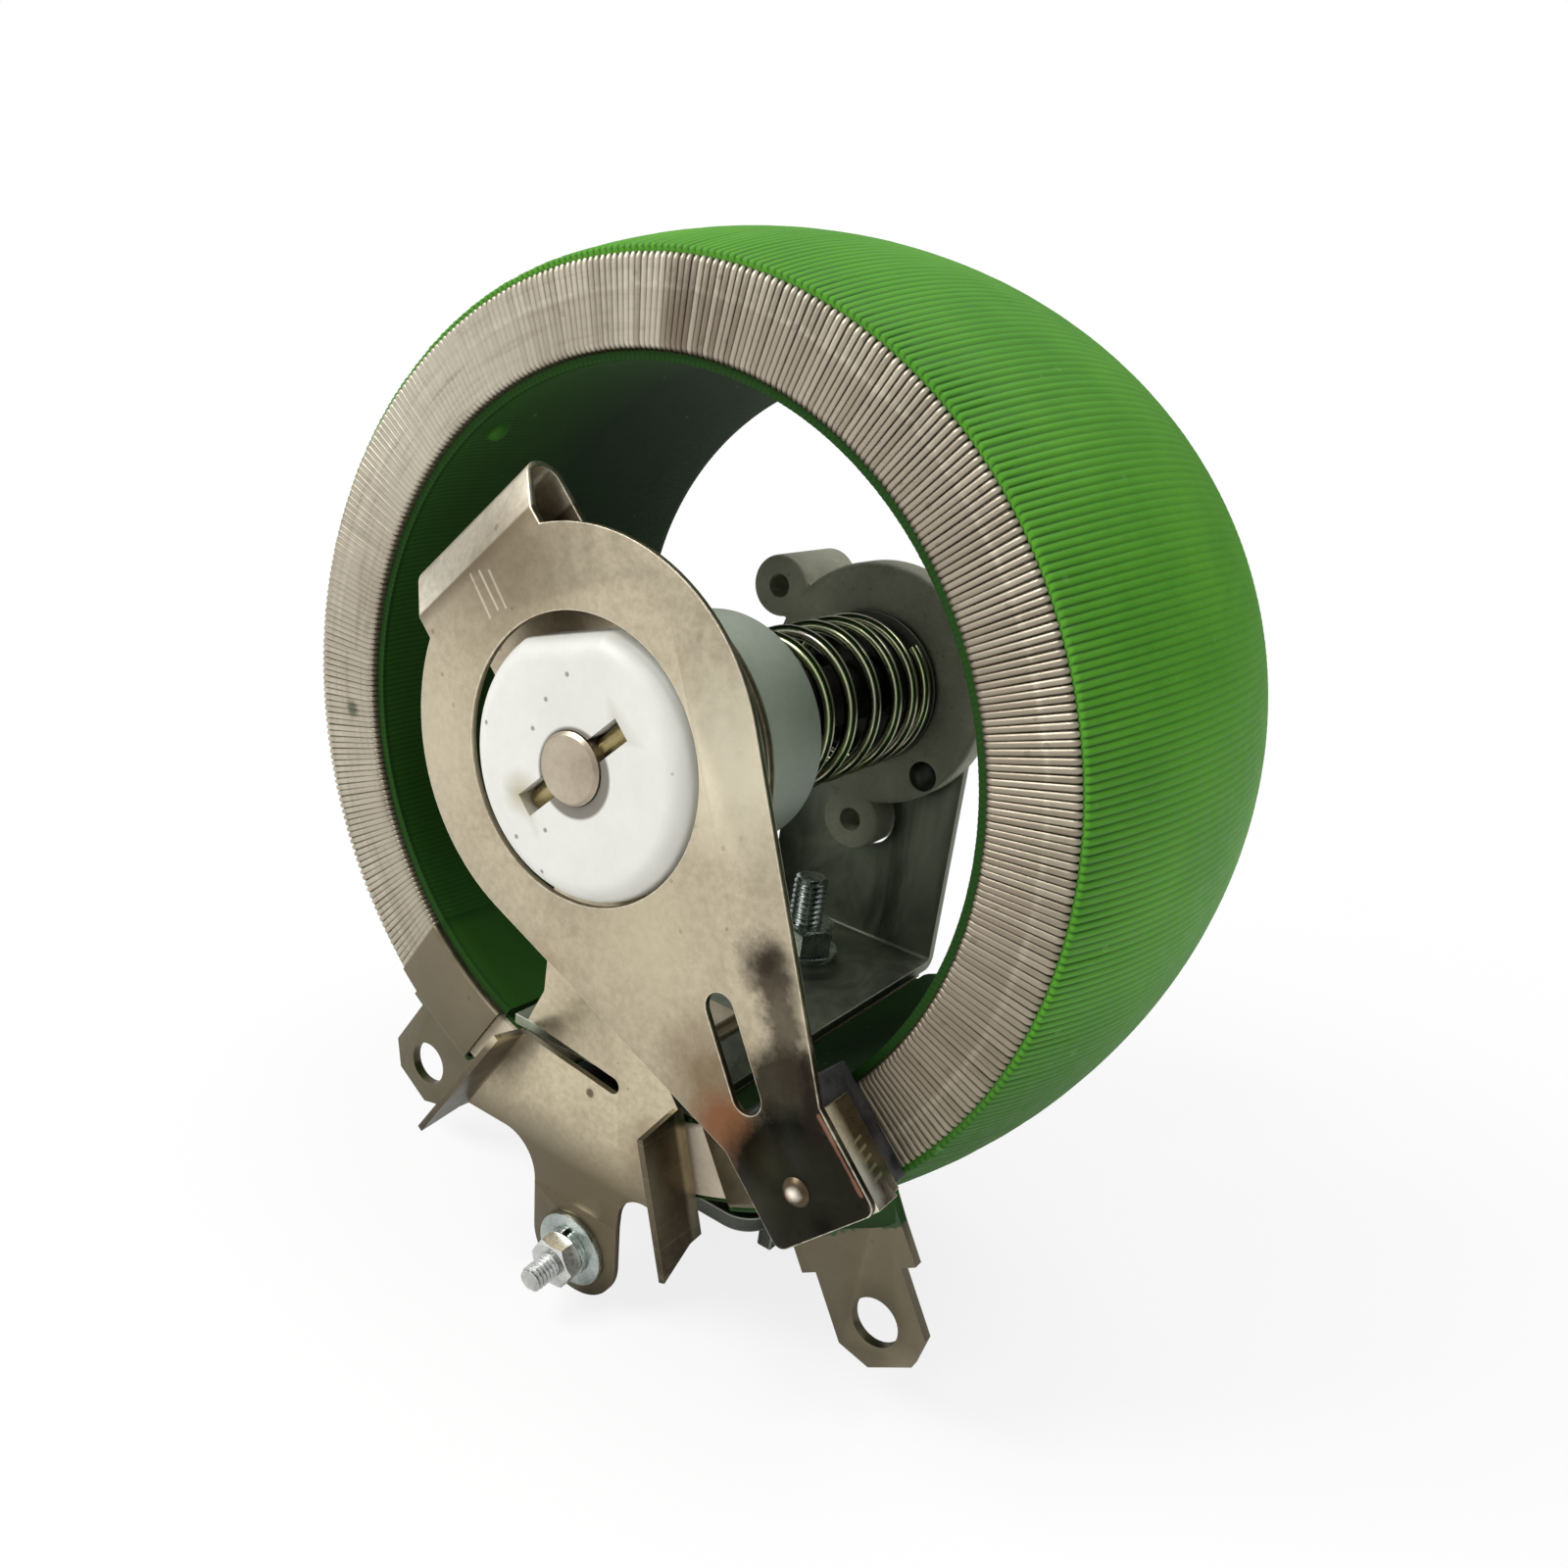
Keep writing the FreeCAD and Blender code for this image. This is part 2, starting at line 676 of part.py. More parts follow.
def bearing_flange():
    """Casting that holds the bush, with three tube ears that stand on the panel."""
    front = at_back(flange_front_back)
    leg_y = at_back(leg_front_back)
    disc = rod(flange_r, front, leg_y - front)
    disc = disc.makeFillet(casting_round, [e for e in disc.Edges if is_end(e, front)])
    boss = rod(boss_r, front, at_back(boss_rear_back) - front)
    parts = [disc, boss]
    for angle in ear_angles:
        ex, ez = polar(ear_circle_r, angle)
        tube = rod(ear_r, front, -front, ex, ez)
        parts.append(tube.makeFillet(0.6, [e for e in tube.Edges if is_end(e, front)]))
        w = ear_web / 2.0
        inner = flange_r - web_overlap
        web = [along(angle, inner, -w), along(angle, ear_circle_r, -w),
               along(angle, ear_circle_r, w), along(angle, inner, w)]
        parts.append(plate(web, front + casting_round, leg_y - front - casting_round))
    for angle in ear_angles[:2]:
        h = rib_thick / 2.0
        inner, outer = boss_r - rib_overlap, ear_circle_r - ear_r + rib_overlap
        rib = [along(angle, inner, -h), along(angle, outer, -h), along(angle, outer, h), along(angle, inner, h)]
        rib_y = leg_y + bracket_sheet + rib_gap
        parts.append(plate(rib, rib_y, at_back(boss_rear_back) - rib_y))
    body = fused(parts)
    for angle in ear_angles:
        ex, ez = polar(ear_circle_r, angle)
        body = body.cut(rod(ear_hole_r, front - 1, -front + 2, ex, ez))
    body = body.cut(rod(bush_r + seat_clear, front - 1, -front + 2))
    for side in (-1, 1):
        x, z = side * casting_rivet_at[0], casting_rivet_at[1]
        body = body.cut(rod(casting_rivet_r + 0.1, front - 1, leg_y - front + 2, x, z))
    return body


def bearing_rivets():
    """Two rivets through the casting and the bracket's leg."""
    front = at_back(flange_front_back)
    rear = at_back(leg_front_back) + bracket_sheet
    rivets = []
    for side in (-1, 1):
        x, z = side * casting_rivet_at[0], casting_rivet_at[1]
        shank = rod(casting_rivet_r, front - 0.1, rear - front + 0.2, x, z)
        ahead = dome_head(V(x, front, z), V(0, -1, 0), casting_rivet_head_r, casting_rivet_head)
        behind = dome_head(V(x, rear, z), V(0, 1, 0), casting_rivet_head_r, casting_rivet_head)
        rivets.append(fused([shank, ahead, behind]))
    return fuse_loose(rivets)


def dome_head(base, axis, radius, high):
    """Low round rivet head that stands on a face."""
    ball = (radius * radius + high * high) / (2.0 * high)
    centre = base + axis * (high - ball)
    sphere = Part.makeSphere(ball, centre)
    keep = Part.makeCylinder(radius + 1, high + 1, base, axis)
    return sphere.common(keep)


def shaft_bush():
    front = at_back(flange_front_back)
    length = at_back(boss_rear_back) + bush_proud - front
    body = rod(bush_r, front - bush_collar, length + bush_collar)
    body = body.fuse(rod(bush_collar_r, front - bush_collar, bush_collar)).removeSplitter()
    return body.cut(rod(shaft_r + running_clear, front - 5, length + 10))


seat_washer_back = flange_front_back - bush_collar - washer_clear - washer_thick
rear_washer_back = boss_rear_back + bush_proud + washer_clear
clip_back = rear_washer_back + washer_thick + washer_clear


def spring_seat_washer():
    return washer(seat_washer_r, shaft_r + 0.2, at_back(seat_washer_back), washer_thick)


def rear_washer():
    return washer(rear_washer_r, shaft_r + 0.2, at_back(rear_washer_back), washer_thick)


def retaining_clip():
    y = at_back(clip_back)
    ring = washer(clip_r, groove_r + 0.05, y, clip_thick)
    mouth = block(-clip_mouth_half, clip_mouth_half, y - 1, y + clip_thick + 1, 0, clip_r + 1)
    return ring.cut(mouth)


# Turning side

def shaft():
    front = at_back(shaft_front_back)
    body = rod(shaft_r, front, shaft_knob_length - front)
    body = body.makeChamfer(shaft_chamfer, [e for e in body.Edges if isinstance(e.Curve, Part.Circle)])
    groove = washer(shaft_r + 1, groove_r, at_back(clip_back) - 0.05, clip_thick + 0.1)
    return body.cut(groove).cut(cross_rod(pin_r + seat_clear / 2.0, shaft_r + 2))


def cross_rod(radius, half_length):
    """Rod through the shaft, square to the wiper's axis."""
    ax, az = polar(1.0, wiper_angle + 90.0)
    y = at_back(pin_back)
    start = V(-ax * half_length, y, -az * half_length)
    return Part.makeCylinder(radius, 2 * half_length, start, V(ax, 0, az))


def cross_pin():
    return cross_rod(pin_r, pin_half_length)


leaf_rear_back = -sheet - leaf_clear
leaf_front_back = leaf_rear_back - sheet


def hub_cap():
    """Front ceramic of the hub, slotted for the cross pin and keyed to the wiper."""
    front = at_back(cap_front_back)
    rear = at_back(leaf_front_back)
    disc = rod(cap_r, front, rear - front)
    fx, fz = polar(cap_flat_at, cap_flat_angle)
    beyond = [along(cap_flat_angle, cap_flat_at, -cap_r), along(cap_flat_angle, cap_r + 5, -cap_r),
              along(cap_flat_angle, cap_r + 5, cap_r), along(cap_flat_angle, cap_flat_at, cap_r)]
    disc = disc.cut(plate(beyond, front - 1, rear - front + 2))
    disc = disc.makeFillet(cap_round, [e for e in disc.Edges if abs(e.BoundBox.YMax - front) < 1e-6])
    body = disc.fuse(keyed_disc(spigot_r, spigot_flat_at, rear - 0.5, spigot_length + 0.5))
    w = pin_r + pin_slot_clear
    h = pin_slot_half
    across = wiper_angle + 90.0
    slot = [along(across, -h, -w), along(across, h, -w), along(across, h, w), along(across, -h, w)]
    body = body.cut(plate(slot, front - 1, at_back(pin_back) + w - front + 1))
    return body.removeSplitter().cut(rod(shaft_r + hub_bore_clear, front - 1, 40))


def keyed_disc(radius, flat_at, y, length):
    """Disc along Y with one flat on the far side from the brush."""
    key = wiper_angle + 180.0
    beyond = [along(key, flat_at, -radius), along(key, radius + 2, -radius),
              along(key, radius + 2, radius), along(key, flat_at, radius)]
    return rod(radius, y, length).cut(plate(beyond, y - 1, length + 2))


def hub_sleeve():
    front = at_back(leaf_rear_back)
    rear = at_back(sleeve_rear_back)
    body = rod(sleeve_r, front, rear - front)
    body = body.makeFillet(0.8, [e for e in body.Edges if is_end(e, rear)])
    recess = keyed_disc(spigot_r + spigot_clear, spigot_flat_at + spigot_clear, front - 1,
                        spigot_length - sheet + 1.4)
    return body.cut(recess).cut(rod(shaft_r + hub_bore_clear, front - 1, rear - front + 2))


def disc_side(side):
    """Where the front leaf's disc meets the arm, halfway round, and where it meets the fold."""
    du, dv = wiper_disc_at[0], side * wiper_disc_at[1]
    ahead, beside = tip_start_u - du, tip_half - dv
    touch = math.atan2(beside, ahead) + math.acos(wiper_disc_r / math.hypot(ahead, beside))
    tab = math.pi - math.asin((tab_half - dv) / wiper_disc_r)
    return [along(wiper_angle, du + wiper_disc_r * math.cos(t), side * (dv + wiper_disc_r * math.sin(t)))
            for t in (touch, (touch + tab) / 2.0, tab)]


def wiper_outline(y):
    """Front leaf: round about the hub, running by tangents into the brush end."""
    upper, lower = disc_side(1), disc_side(-1)
    c = tip_corner
    k = c * (1.0 - math.sqrt(0.5))
    a = wiper_angle
    path = [
        upper[0],
        (upper[1], upper[2]),
        along(a, fold_crease_u, tab_half),
        along(a, fold_crease_u, -tab_half),
        lower[2],
        (lower[1], lower[0]),
        along(a, tip_start_u, -tip_half),
        along(a, tip_end_u - c, -tip_half),
        (along(a, tip_end_u - k, -tip_half + k), along(a, tip_end_u, -tip_half + c)),
        along(a, tip_end_u, tip_half - c),
        (along(a, tip_end_u - k, tip_half - k), along(a, tip_end_u - c, tip_half)),
        along(a, tip_start_u, tip_half),
    ]
    return plate(path, y, sheet)


def fold():
    """The bend that joins the two leaves: a crease, a tilted strip and a round turn."""
    t = math.radians(fold_tilt)
    deep = leaf_rear_back - wiper_front_back
    r = (fold_end_u - fold_crease_u) * math.sin(t) + deep * math.cos(t)
    r /= 1.0 + math.cos(t) - math.sin(t)
    centre = (fold_end_u + r, leaf_rear_back - r)
    a = wiper_angle

    def spot(u, back, v=-tab_half):
        x, z = along(a, u, v)
        return V(x, at_back(back), z)

    def turned(radius):
        """Start, middle and end of the round turn at a radius."""
        start = spot(centre[0] - radius * math.sin(t), centre[1] - radius * math.cos(t))
        return start, spot(centre[0] - radius, centre[1]), spot(centre[0], centre[1] + radius)

    crease = spot(fold_crease_u, wiper_front_back)
    inside = spot(fold_crease_u + sheet * math.tan(t / 2.0), wiper_front_back + sheet)
    outer, inner = turned(r), turned(r - sheet)
    rear_outer = spot(fold_crease_u + 1.0, leaf_rear_back)
    rear_inner = spot(fold_crease_u + 1.0, leaf_front_back)
    edges = [
        Part.makeLine(crease, outer[0]),
        Part.Arc(*outer).toShape(),
        Part.makeLine(outer[2], rear_outer),
        Part.makeLine(rear_outer, rear_inner),
        Part.makeLine(rear_inner, inner[2]),
        Part.Arc(*reversed(inner)).toShape(),
        Part.makeLine(inner[0], inside),
        Part.makeLine(inside, crease),
    ]
    ax, az = polar(2.0 * tab_half, a + 90.0)
    return Part.Face(Part.Wire(edges)).extrude(V(ax, 0, az))


def wiper_arm():
    """One sheet folded over: a long leaf with the brush and a short leaf on the collector."""
    a = wiper_angle
    front_y = at_back(wiper_front_back)
    rear_y = at_back(leaf_front_back)
    front = wiper_outline(front_y).cut(rod(wiper_hole_r, front_y - 1, sheet + 2, *along(a, *wiper_hole_at)))
    s, d = wiper_slot_half, -wiper_slot_reach
    ex, ez = along(a, *wiper_slot_end)
    turn = a + wiper_slot_lean
    corners = [along(turn, *c) for c in ((d, -s), (0, -s), (s, 0), (0, s), (d, s), (d - s, 0))]
    p = [(ex + x, ez + z) for x, z in corners]
    front = front.cut(plate([p[0], p[1], (p[2], p[3]), p[4], (p[5], p[0])], front_y - 1, sheet + 2))
    rx, rz = along(a, *rivet_at)
    front = front.cut(rod(rivet_r + 0.05, front_y - 1, sheet + 2, rx, rz))
    tab = [along(a, fold_crease_u, -tab_half), along(a, 0.0, -tab_half), along(a, 0.0, tab_half),
           along(a, fold_crease_u, tab_half)]
    rear = plate(tab, rear_y, sheet).fuse(rod(rear_leaf_r, rear_y, sheet))
    rear = rear.cut(keyed_disc(spigot_r + spigot_clear, spigot_flat_at + spigot_clear, rear_y - 1, sheet + 2))
    return fused([front, fold(), rear])


def brush_holder():
    """Tray riveted under the arm, folded down on three sides of the brush."""
    a = wiper_angle
    y = at_back(wiper_front_back) + sheet
    h, w, u0, u1 = holder_half, holder_wall, holder_start_u, tip_end_u
    web = plate([along(a, u, v) for u, v in ((u0, -h), (u1, -h), (u1, h), (u0, h))], y, w)
    parts = [web]
    for v0, v1 in ((-h, -h + w), (h - w, h)):
        parts.append(plate([along(a, u, v) for u, v in ((u0, v0), (u1 - 0.6, v0), (u1 - 0.6, v1), (u0, v1))],
                           y, holder_reach))
    end = ((u1 - w, -h), (u1, -h), (u1, h), (u1 - w, h))
    parts.append(plate([along(a, u, v) for u, v in end], y, holder_reach - 1.0))
    rx, rz = along(a, *rivet_at)
    return fused(parts).cut(rod(rivet_r + 0.05, y - 1, w + 2, rx, rz))


def carbon_brush():
    a = wiper_angle
    y = at_back(wiper_front_back) + sheet + holder_wall
    h = brush_half
    path = [along(a, u, v) for u, v in ((brush_start_u, -h), (brush_end_u, -h), (brush_end_u, h), (brush_start_u, h))]
    body = plate(path, y, at_back(-track_clear) - y)
    rx, rz = along(a, *rivet_at)
    return body.cut(rod(rivet_r + 0.05, y - 1, rivet_depth + 1, rx, rz))


def brush_rivet():
    x, z = along(wiper_angle, *rivet_at)
    front = at_back(wiper_front_back)
    shank = rod(rivet_r, front - 0.1, sheet + holder_wall + rivet_depth, x, z)
    return fused([shank, dome_head(V(x, front, z), V(0, -1, 0), rivet_head_r, rivet_head_high)])


def return_spring():
    """Coil between the hub sleeve and the washer in front of the bearing."""
    low = sleeve_rear_back + coil_clear + coil_wire_r
    high = seat_washer_back - coil_clear - coil_wire_r
    height = high - low
    helix = Part.makeHelix(height / coil_turns, height, coil_mean_r)
    circle = Part.Wire(Part.makeCircle(coil_wire_r, V(coil_mean_r, 0, 0), V(0, 1, 0)))
    coil = Part.Wire(helix.Edges).makePipeShell([circle], True, True)
    coil.rotate(V(0, 0, 0), V(1, 0, 0), -90.0)
    coil.translate(V(0, at_back(low), 0))
    return coil


def nodes():
    """Every piece by the name of its node."""
    right = right_end_band()
    return {
        "ceramic_core": ceramic_core(),
        "resistance_winding": winding(),
        "enamel_coat": enamel(),
        "right_end_band": right,
        "left_end_band": mirrored(right),
        "collector_plate": collector_plate(),
        "collector_carrier": collector_carrier(),
        "carrier_mica": carrier_mica(),
        "fibre_washer": fibre_washer(),
        "terminal_screw": terminal_screw(),
        "terminal_washer": terminal_washer(),
        "terminal_lock_washer": terminal_lock_washer(),
        "terminal_nut": terminal_nut(),
        "foot_mica": foot_mica(),
        "clamp_saddle": clamp_saddle(),
        "clamp_bolts": clamp_bolts(),
        "clamp_washers": clamp_washers(),
        "clamp_nuts": clamp_nuts(),
        "mounting_bracket": mounting_bracket(),
        "bearing_flange": bearing_flange(),
        "bearing_rivets": bearing_rivets(),
        "shaft_bush": shaft_bush(),
        "spring_seat_washer": spring_seat_washer(),
        "rear_washer": rear_washer(),
        "retaining_clip": retaining_clip(),
        "control_shaft": shaft(),
        "cross_pin": cross_pin(),
        "hub_cap": hub_cap(),
        "hub_sleeve": hub_sleeve(),
        "wiper_arm": wiper_arm(),
        "brush_holder": brush_holder(),
        "carbon_brush": carbon_brush(),
        "brush_rivet": brush_rivet(),
        "return_spring": return_spring(),
    }


def main():
    os.makedirs("parts", exist_ok=True)
    for name, shape in nodes().items():
        shape.exportStep(os.path.join("parts", name + ".step"))
        box = shape.BoundBox
        solids = shape.Solids
        print("%-22s solids %d valid %s volume %9.1f  y %7.2f %7.2f  z %7.2f %7.2f" % (
            name, len(solids), shape.isValid(), sum(s.Volume for s in solids),
            box.YMin, box.YMax, box.ZMin, box.ZMax))


main()
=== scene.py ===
import json
import math
import random

import bmesh
import bpy
from mathutils import Matrix, Vector


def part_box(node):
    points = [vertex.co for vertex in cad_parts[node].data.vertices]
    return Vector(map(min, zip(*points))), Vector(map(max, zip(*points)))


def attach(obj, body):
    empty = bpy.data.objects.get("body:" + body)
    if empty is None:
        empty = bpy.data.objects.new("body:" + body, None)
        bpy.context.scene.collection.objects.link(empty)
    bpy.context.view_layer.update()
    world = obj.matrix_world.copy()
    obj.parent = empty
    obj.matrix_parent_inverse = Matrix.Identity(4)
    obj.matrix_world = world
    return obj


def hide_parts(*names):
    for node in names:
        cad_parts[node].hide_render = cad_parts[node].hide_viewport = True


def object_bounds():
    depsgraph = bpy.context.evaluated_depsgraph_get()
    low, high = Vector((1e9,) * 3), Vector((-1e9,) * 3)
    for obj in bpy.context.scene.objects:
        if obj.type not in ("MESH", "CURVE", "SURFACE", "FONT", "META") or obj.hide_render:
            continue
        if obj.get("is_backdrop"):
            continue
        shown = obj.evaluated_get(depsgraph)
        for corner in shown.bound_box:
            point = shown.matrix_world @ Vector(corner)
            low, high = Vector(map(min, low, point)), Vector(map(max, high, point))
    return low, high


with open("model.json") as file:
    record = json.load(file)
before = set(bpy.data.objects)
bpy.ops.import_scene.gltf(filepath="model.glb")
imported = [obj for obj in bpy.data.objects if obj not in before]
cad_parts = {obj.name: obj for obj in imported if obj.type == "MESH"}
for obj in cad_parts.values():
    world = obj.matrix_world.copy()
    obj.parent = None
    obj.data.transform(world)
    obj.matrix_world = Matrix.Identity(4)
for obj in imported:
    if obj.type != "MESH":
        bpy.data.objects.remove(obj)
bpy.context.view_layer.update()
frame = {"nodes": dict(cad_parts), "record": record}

# Ring rheostat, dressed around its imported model. Lengths are in millimetres until they go into a
# mesh. The shaft is the Y axis, and the wiper's track faces -Y. Angles run from +X towards +Z.

MM = 0.001
track_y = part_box("resistance_winding")[0][1] / MM
# Front faces of the stop plate, the wiper arm, the hub's cap and the lugs
plate_y = track_y - 1.0
arm_y = track_y - 10.0
cap_y = track_y - 11.5
lug_y = track_y + 11.8
# The ring and its winding. Band and gap angles are those of the right side.
ring_depth = 69.5
ring_face_r = 65.0
ring_bore_r = 52.0
wall_bulge = 5.5
enamel_thick = 0.5
wire_r = 0.45
mid_r = 58.5
band_half = 8.8
band_angle = math.degrees(math.asin(27.48 / ring_bore_r)) - 90.0
gap_angle = math.degrees(math.asin(15.2 / ring_bore_r)) - 90.0
turn_count = 310
drip_at = (-36.5, -74.1, 37.1)

LEFT, RIGHT, DOWN = (-1.0, 0.0, 0.0), (1.0, 0.0, 0.0), (0.0, 0.0, -1.0)
UP_LEFT, LOW_RIGHT = (-0.7071, 0.0, 0.7071), (0.5, 0.0, -0.866)
WHITE = (1.0, 1.0, 1.0, 1.0)

BODY_OF = {n: b for b, ns in frame["record"]["behaviour"]["bodies"].items() for n in ns}
SLOT_OF = {s["node"]: s["material_slot"] for s in frame["record"]["subparts"]}


def srgb(r, g, b):
    """Linear colour from the 0 to 255 values that a colour picker shows."""
    out = []
    for c in (r, g, b):
        c /= 255.0
        out.append(c / 12.92 if c <= 0.04045 else ((c + 0.055) / 1.055) ** 2.4)
    return (*out, 1.0)


# Node trees


class Graph:
    """Adds nodes to a tree and joins their sockets."""

    def __init__(self, tree):
        self.tree = tree

    def add(self, kind, inputs=None, **settings):
        node = self.tree.nodes.new(kind)
        for key, value in settings.items():
            setattr(node, key, value)
        for key, value in (inputs or {}).items():
            self.feed(node.inputs[key], value)
        return node

    def feed(self, socket, value):
        if isinstance(value, bpy.types.NodeSocket):
            self.tree.links.new(value, socket)
        else:
            socket.default_value = value

    def math(self, operation, a, b=0.0, c=0.0, clamp=False):
        node = self.add("ShaderNodeMath", operation=operation, use_clamp=clamp)
        for socket, value in zip(node.inputs, (a, b, c)):
            self.feed(socket, value)
        return node.outputs[0]

    def times(self, a, b):
        return self.math("MULTIPLY", a, b)

    def plus(self, a, b):
        return self.math("ADD", a, b)

    def minus(self, a, b, clamp=False):
        return self.math("SUBTRACT", a, b, clamp=clamp)

    def vector(self, operation, a, b=(0.0, 0.0, 0.0)):
        node = self.add("ShaderNodeVectorMath", operation=operation)
        self.feed(node.inputs[0], a)
        self.feed(node.inputs[1], b)
        return node.outputs["Value" if operation in ("LENGTH", "DISTANCE", "DOT_PRODUCT") else "Vector"]

    def span(self, value, low, high, start=0.0, end=1.0):
        """Runs from start to end while the value runs from low to high, and stops there."""
        node = self.add("ShaderNodeMapRange", clamp=True)
        for socket, v in zip(node.inputs, (value, low, high, start, end)):
            self.feed(socket, v)
        return node.outputs[0]

    def mix(self, amount, a, b, kind="RGBA"):
        node = self.add("ShaderNodeMix", data_type=kind)
        self.feed(node.inputs[0], amount)
        first, result = (6, 2) if kind == "RGBA" else (2, 0)
        self.feed(node.inputs[first], a)
        self.feed(node.inputs[first + 1], b)
        return node.outputs[result]

    def noise(self, vector, scale, detail=3.0, rough=0.5, warp=0.0):
        node = self.add("ShaderNodeTexNoise", {"Vector": vector, "Scale": scale, "Detail": detail,
                                               "Roughness": rough, "Distortion": warp})
        return node.outputs["Fac"]

    def stretched(self, vector, scale, turn=(0.0, 0.0, 0.0)):
        node = self.add("ShaderNodeMapping", {"Vector": vector, "Scale": scale, "Rotation": turn})
        return node.outputs[0]

    def round_y(self, radius, angle, y):
        """Position at a radius and an angle about the Y axis, and at a depth."""
        return self.add("ShaderNodeCombineXYZ", {
            0: self.times(radius, self.math("COSINE", angle)), 1: y,
            2: self.times(radius, self.math("SINE", angle))}).outputs[0]

    def wire(self, line, radius, sides, capped):
        """Round wire along a line."""
        curve = self.add("GeometryNodeMeshToCurve", {"Mesh": line}).outputs[0]
        ring = self.add("GeometryNodeCurvePrimitiveCircle", {"Resolution": sides, "Radius": radius})
        return self.add("GeometryNodeCurveToMesh", {
            "Curve": curve, "Profile Curve": ring.outputs[0], "Fill Caps": capped}).outputs[0]


def shared(name, ins, outs, build):
    """A shader node group. ins maps input names to starting values, and outs lists the outputs."""
    tree = bpy.data.node_groups.new(name, "ShaderNodeTree")
    kinds = {float: "NodeSocketFloat", tuple: "NodeSocketVector"}
    for key, value in ins.items():
        socket = tree.interface.new_socket(name=key, in_out="INPUT", socket_type=kinds[type(value)])
        socket.default_value = value
    for key in outs:
        tree.interface.new_socket(name=key, in_out="OUTPUT", socket_type="NodeSocketFloat")
    g = Graph(tree)
    given = g.add("NodeGroupInput").outputs
    result = g.add("NodeGroupOutput")
    for key, value in build(g, given).items():
        g.feed(result.inputs[key], value)
    return tree


def build_grain(g, given):
    """Cloudy variation with finer grain on top."""
    broad = g.noise(given["Vector"], given["Scale"], 2.0, 0.5)
    fine = g.noise(given["Vector"], g.times(given["Scale"], 9.0), 4.0, 0.6)
    total = g.plus(g.times(broad, 0.65), g.times(fine, 0.35))
    return {"Cloud": g.span(total, 0.3, 0.7), "Fine": g.span(fine, 0.3, 0.7)}


def build_specks(g, given):
    """Small round specks, a few of the cells of a Voronoi pattern."""
    cell = g.add("ShaderNodeTexVoronoi", {"Vector": given["Vector"], "Scale": given["Scale"]})
    tone = g.add("ShaderNodeSeparateColor", {"Color": cell.outputs["Color"]})
    size = g.times(given["Size"], tone.outputs[1])
    near = g.math("LESS_THAN", cell.outputs["Distance"], size)
    few = g.math("LESS_THAN", tone.outputs[0], given["Share"])
    return {"Mask": g.times(near, few)}


def build_patch(g, given):
    """Soft ragged spot round a place."""
    away = g.vector("DISTANCE", given["Vector"], given["Place"])
    ragged = g.noise(given["Vector"], 260.0, 9.0, 0.74)
    shift = g.times(g.minus(ragged, 0.5), given["Ragged"])
    return {"Mask": g.span(g.plus(away, shift), given["Radius"], given["Core"])}


def build_wear(g, given):
    """Bright on outer edges, dark in corners, broken up by noise."""
    point = g.add("ShaderNodeNewGeometry").outputs["Pointiness"]
    broken = g.noise(given["Vector"], 420.0, 3.0, 0.6)
    edge = g.span(point, 0.52, 0.58)
    corner = g.span(point, 0.49, 0.44)
    return {"Edge": g.times(edge, g.span(broken, 0.35, 0.6)), "Corner": corner}


def build_scratches(g, given):
    """Thin straight scratches in two directions."""
    masks = []
    for turn in (0.5, 2.1):
        lines = g.stretched(given["Vector"], (40.0, 40.0, 1400.0), (0.0, turn, 0.0))
        masks.append(g.span(g.noise(lines, 1.0, 1.0, 0.4), 0.70, 0.76))
    return {"Mask": g.times(g.math("MAXIMUM", *masks), given["Amount"])}


def build_stroke(g, given):
    """Soft ragged line from a start along a run."""
    run = given["Run"]
    ahead = g.vector("DOT_PRODUCT", g.vector("SUBTRACT", given["Vector"], given["Start"]), run)
    share = g.math("DIVIDE", ahead, g.vector("DOT_PRODUCT", run, run), clamp=True)
    nearest = g.vector("ADD", given["Start"], g.vector("MULTIPLY", run, share))
    away = g.vector("DISTANCE", given["Vector"], nearest)
    ragged = g.noise(given["Vector"], 420.0, 3.0, 0.6)
    shift = g.times(g.minus(ragged, 0.5), given["Ragged"])
    core = g.times(given["Width"], 0.3)
    return {"Mask": g.span(g.plus(away, shift), given["Width"], core)}


ORIGIN = (0.0, 0.0, 0.0)
GRAIN = shared("surface_grain", {"Vector": ORIGIN, "Scale": 100.0}, ["Cloud", "Fine"], build_grain)
SPECKS = shared("small_specks", {"Vector": ORIGIN, "Scale": 300.0, "Size": 0.2, "Share": 0.3},
                ["Mask"], build_specks)
PATCH = shared("soft_patch", {"Vector": ORIGIN, "Place": ORIGIN, "Radius": 0.01, "Core": 0.0,
                              "Ragged": 0.005}, ["Mask"], build_patch)
WEAR = shared("edge_wear", {"Vector": ORIGIN}, ["Edge", "Corner"], build_wear)
SCRATCHES = shared("hair_scratches", {"Vector": ORIGIN, "Amount": 1.0}, ["Mask"], build_scratches)
STROKE = shared("soft_stroke", {"Vector": ORIGIN, "Start": ORIGIN, "Run": (0.01, 0.0, 0.0),
                                "Width": 0.001, "Ragged": 0.001}, ["Mask"], build_stroke)


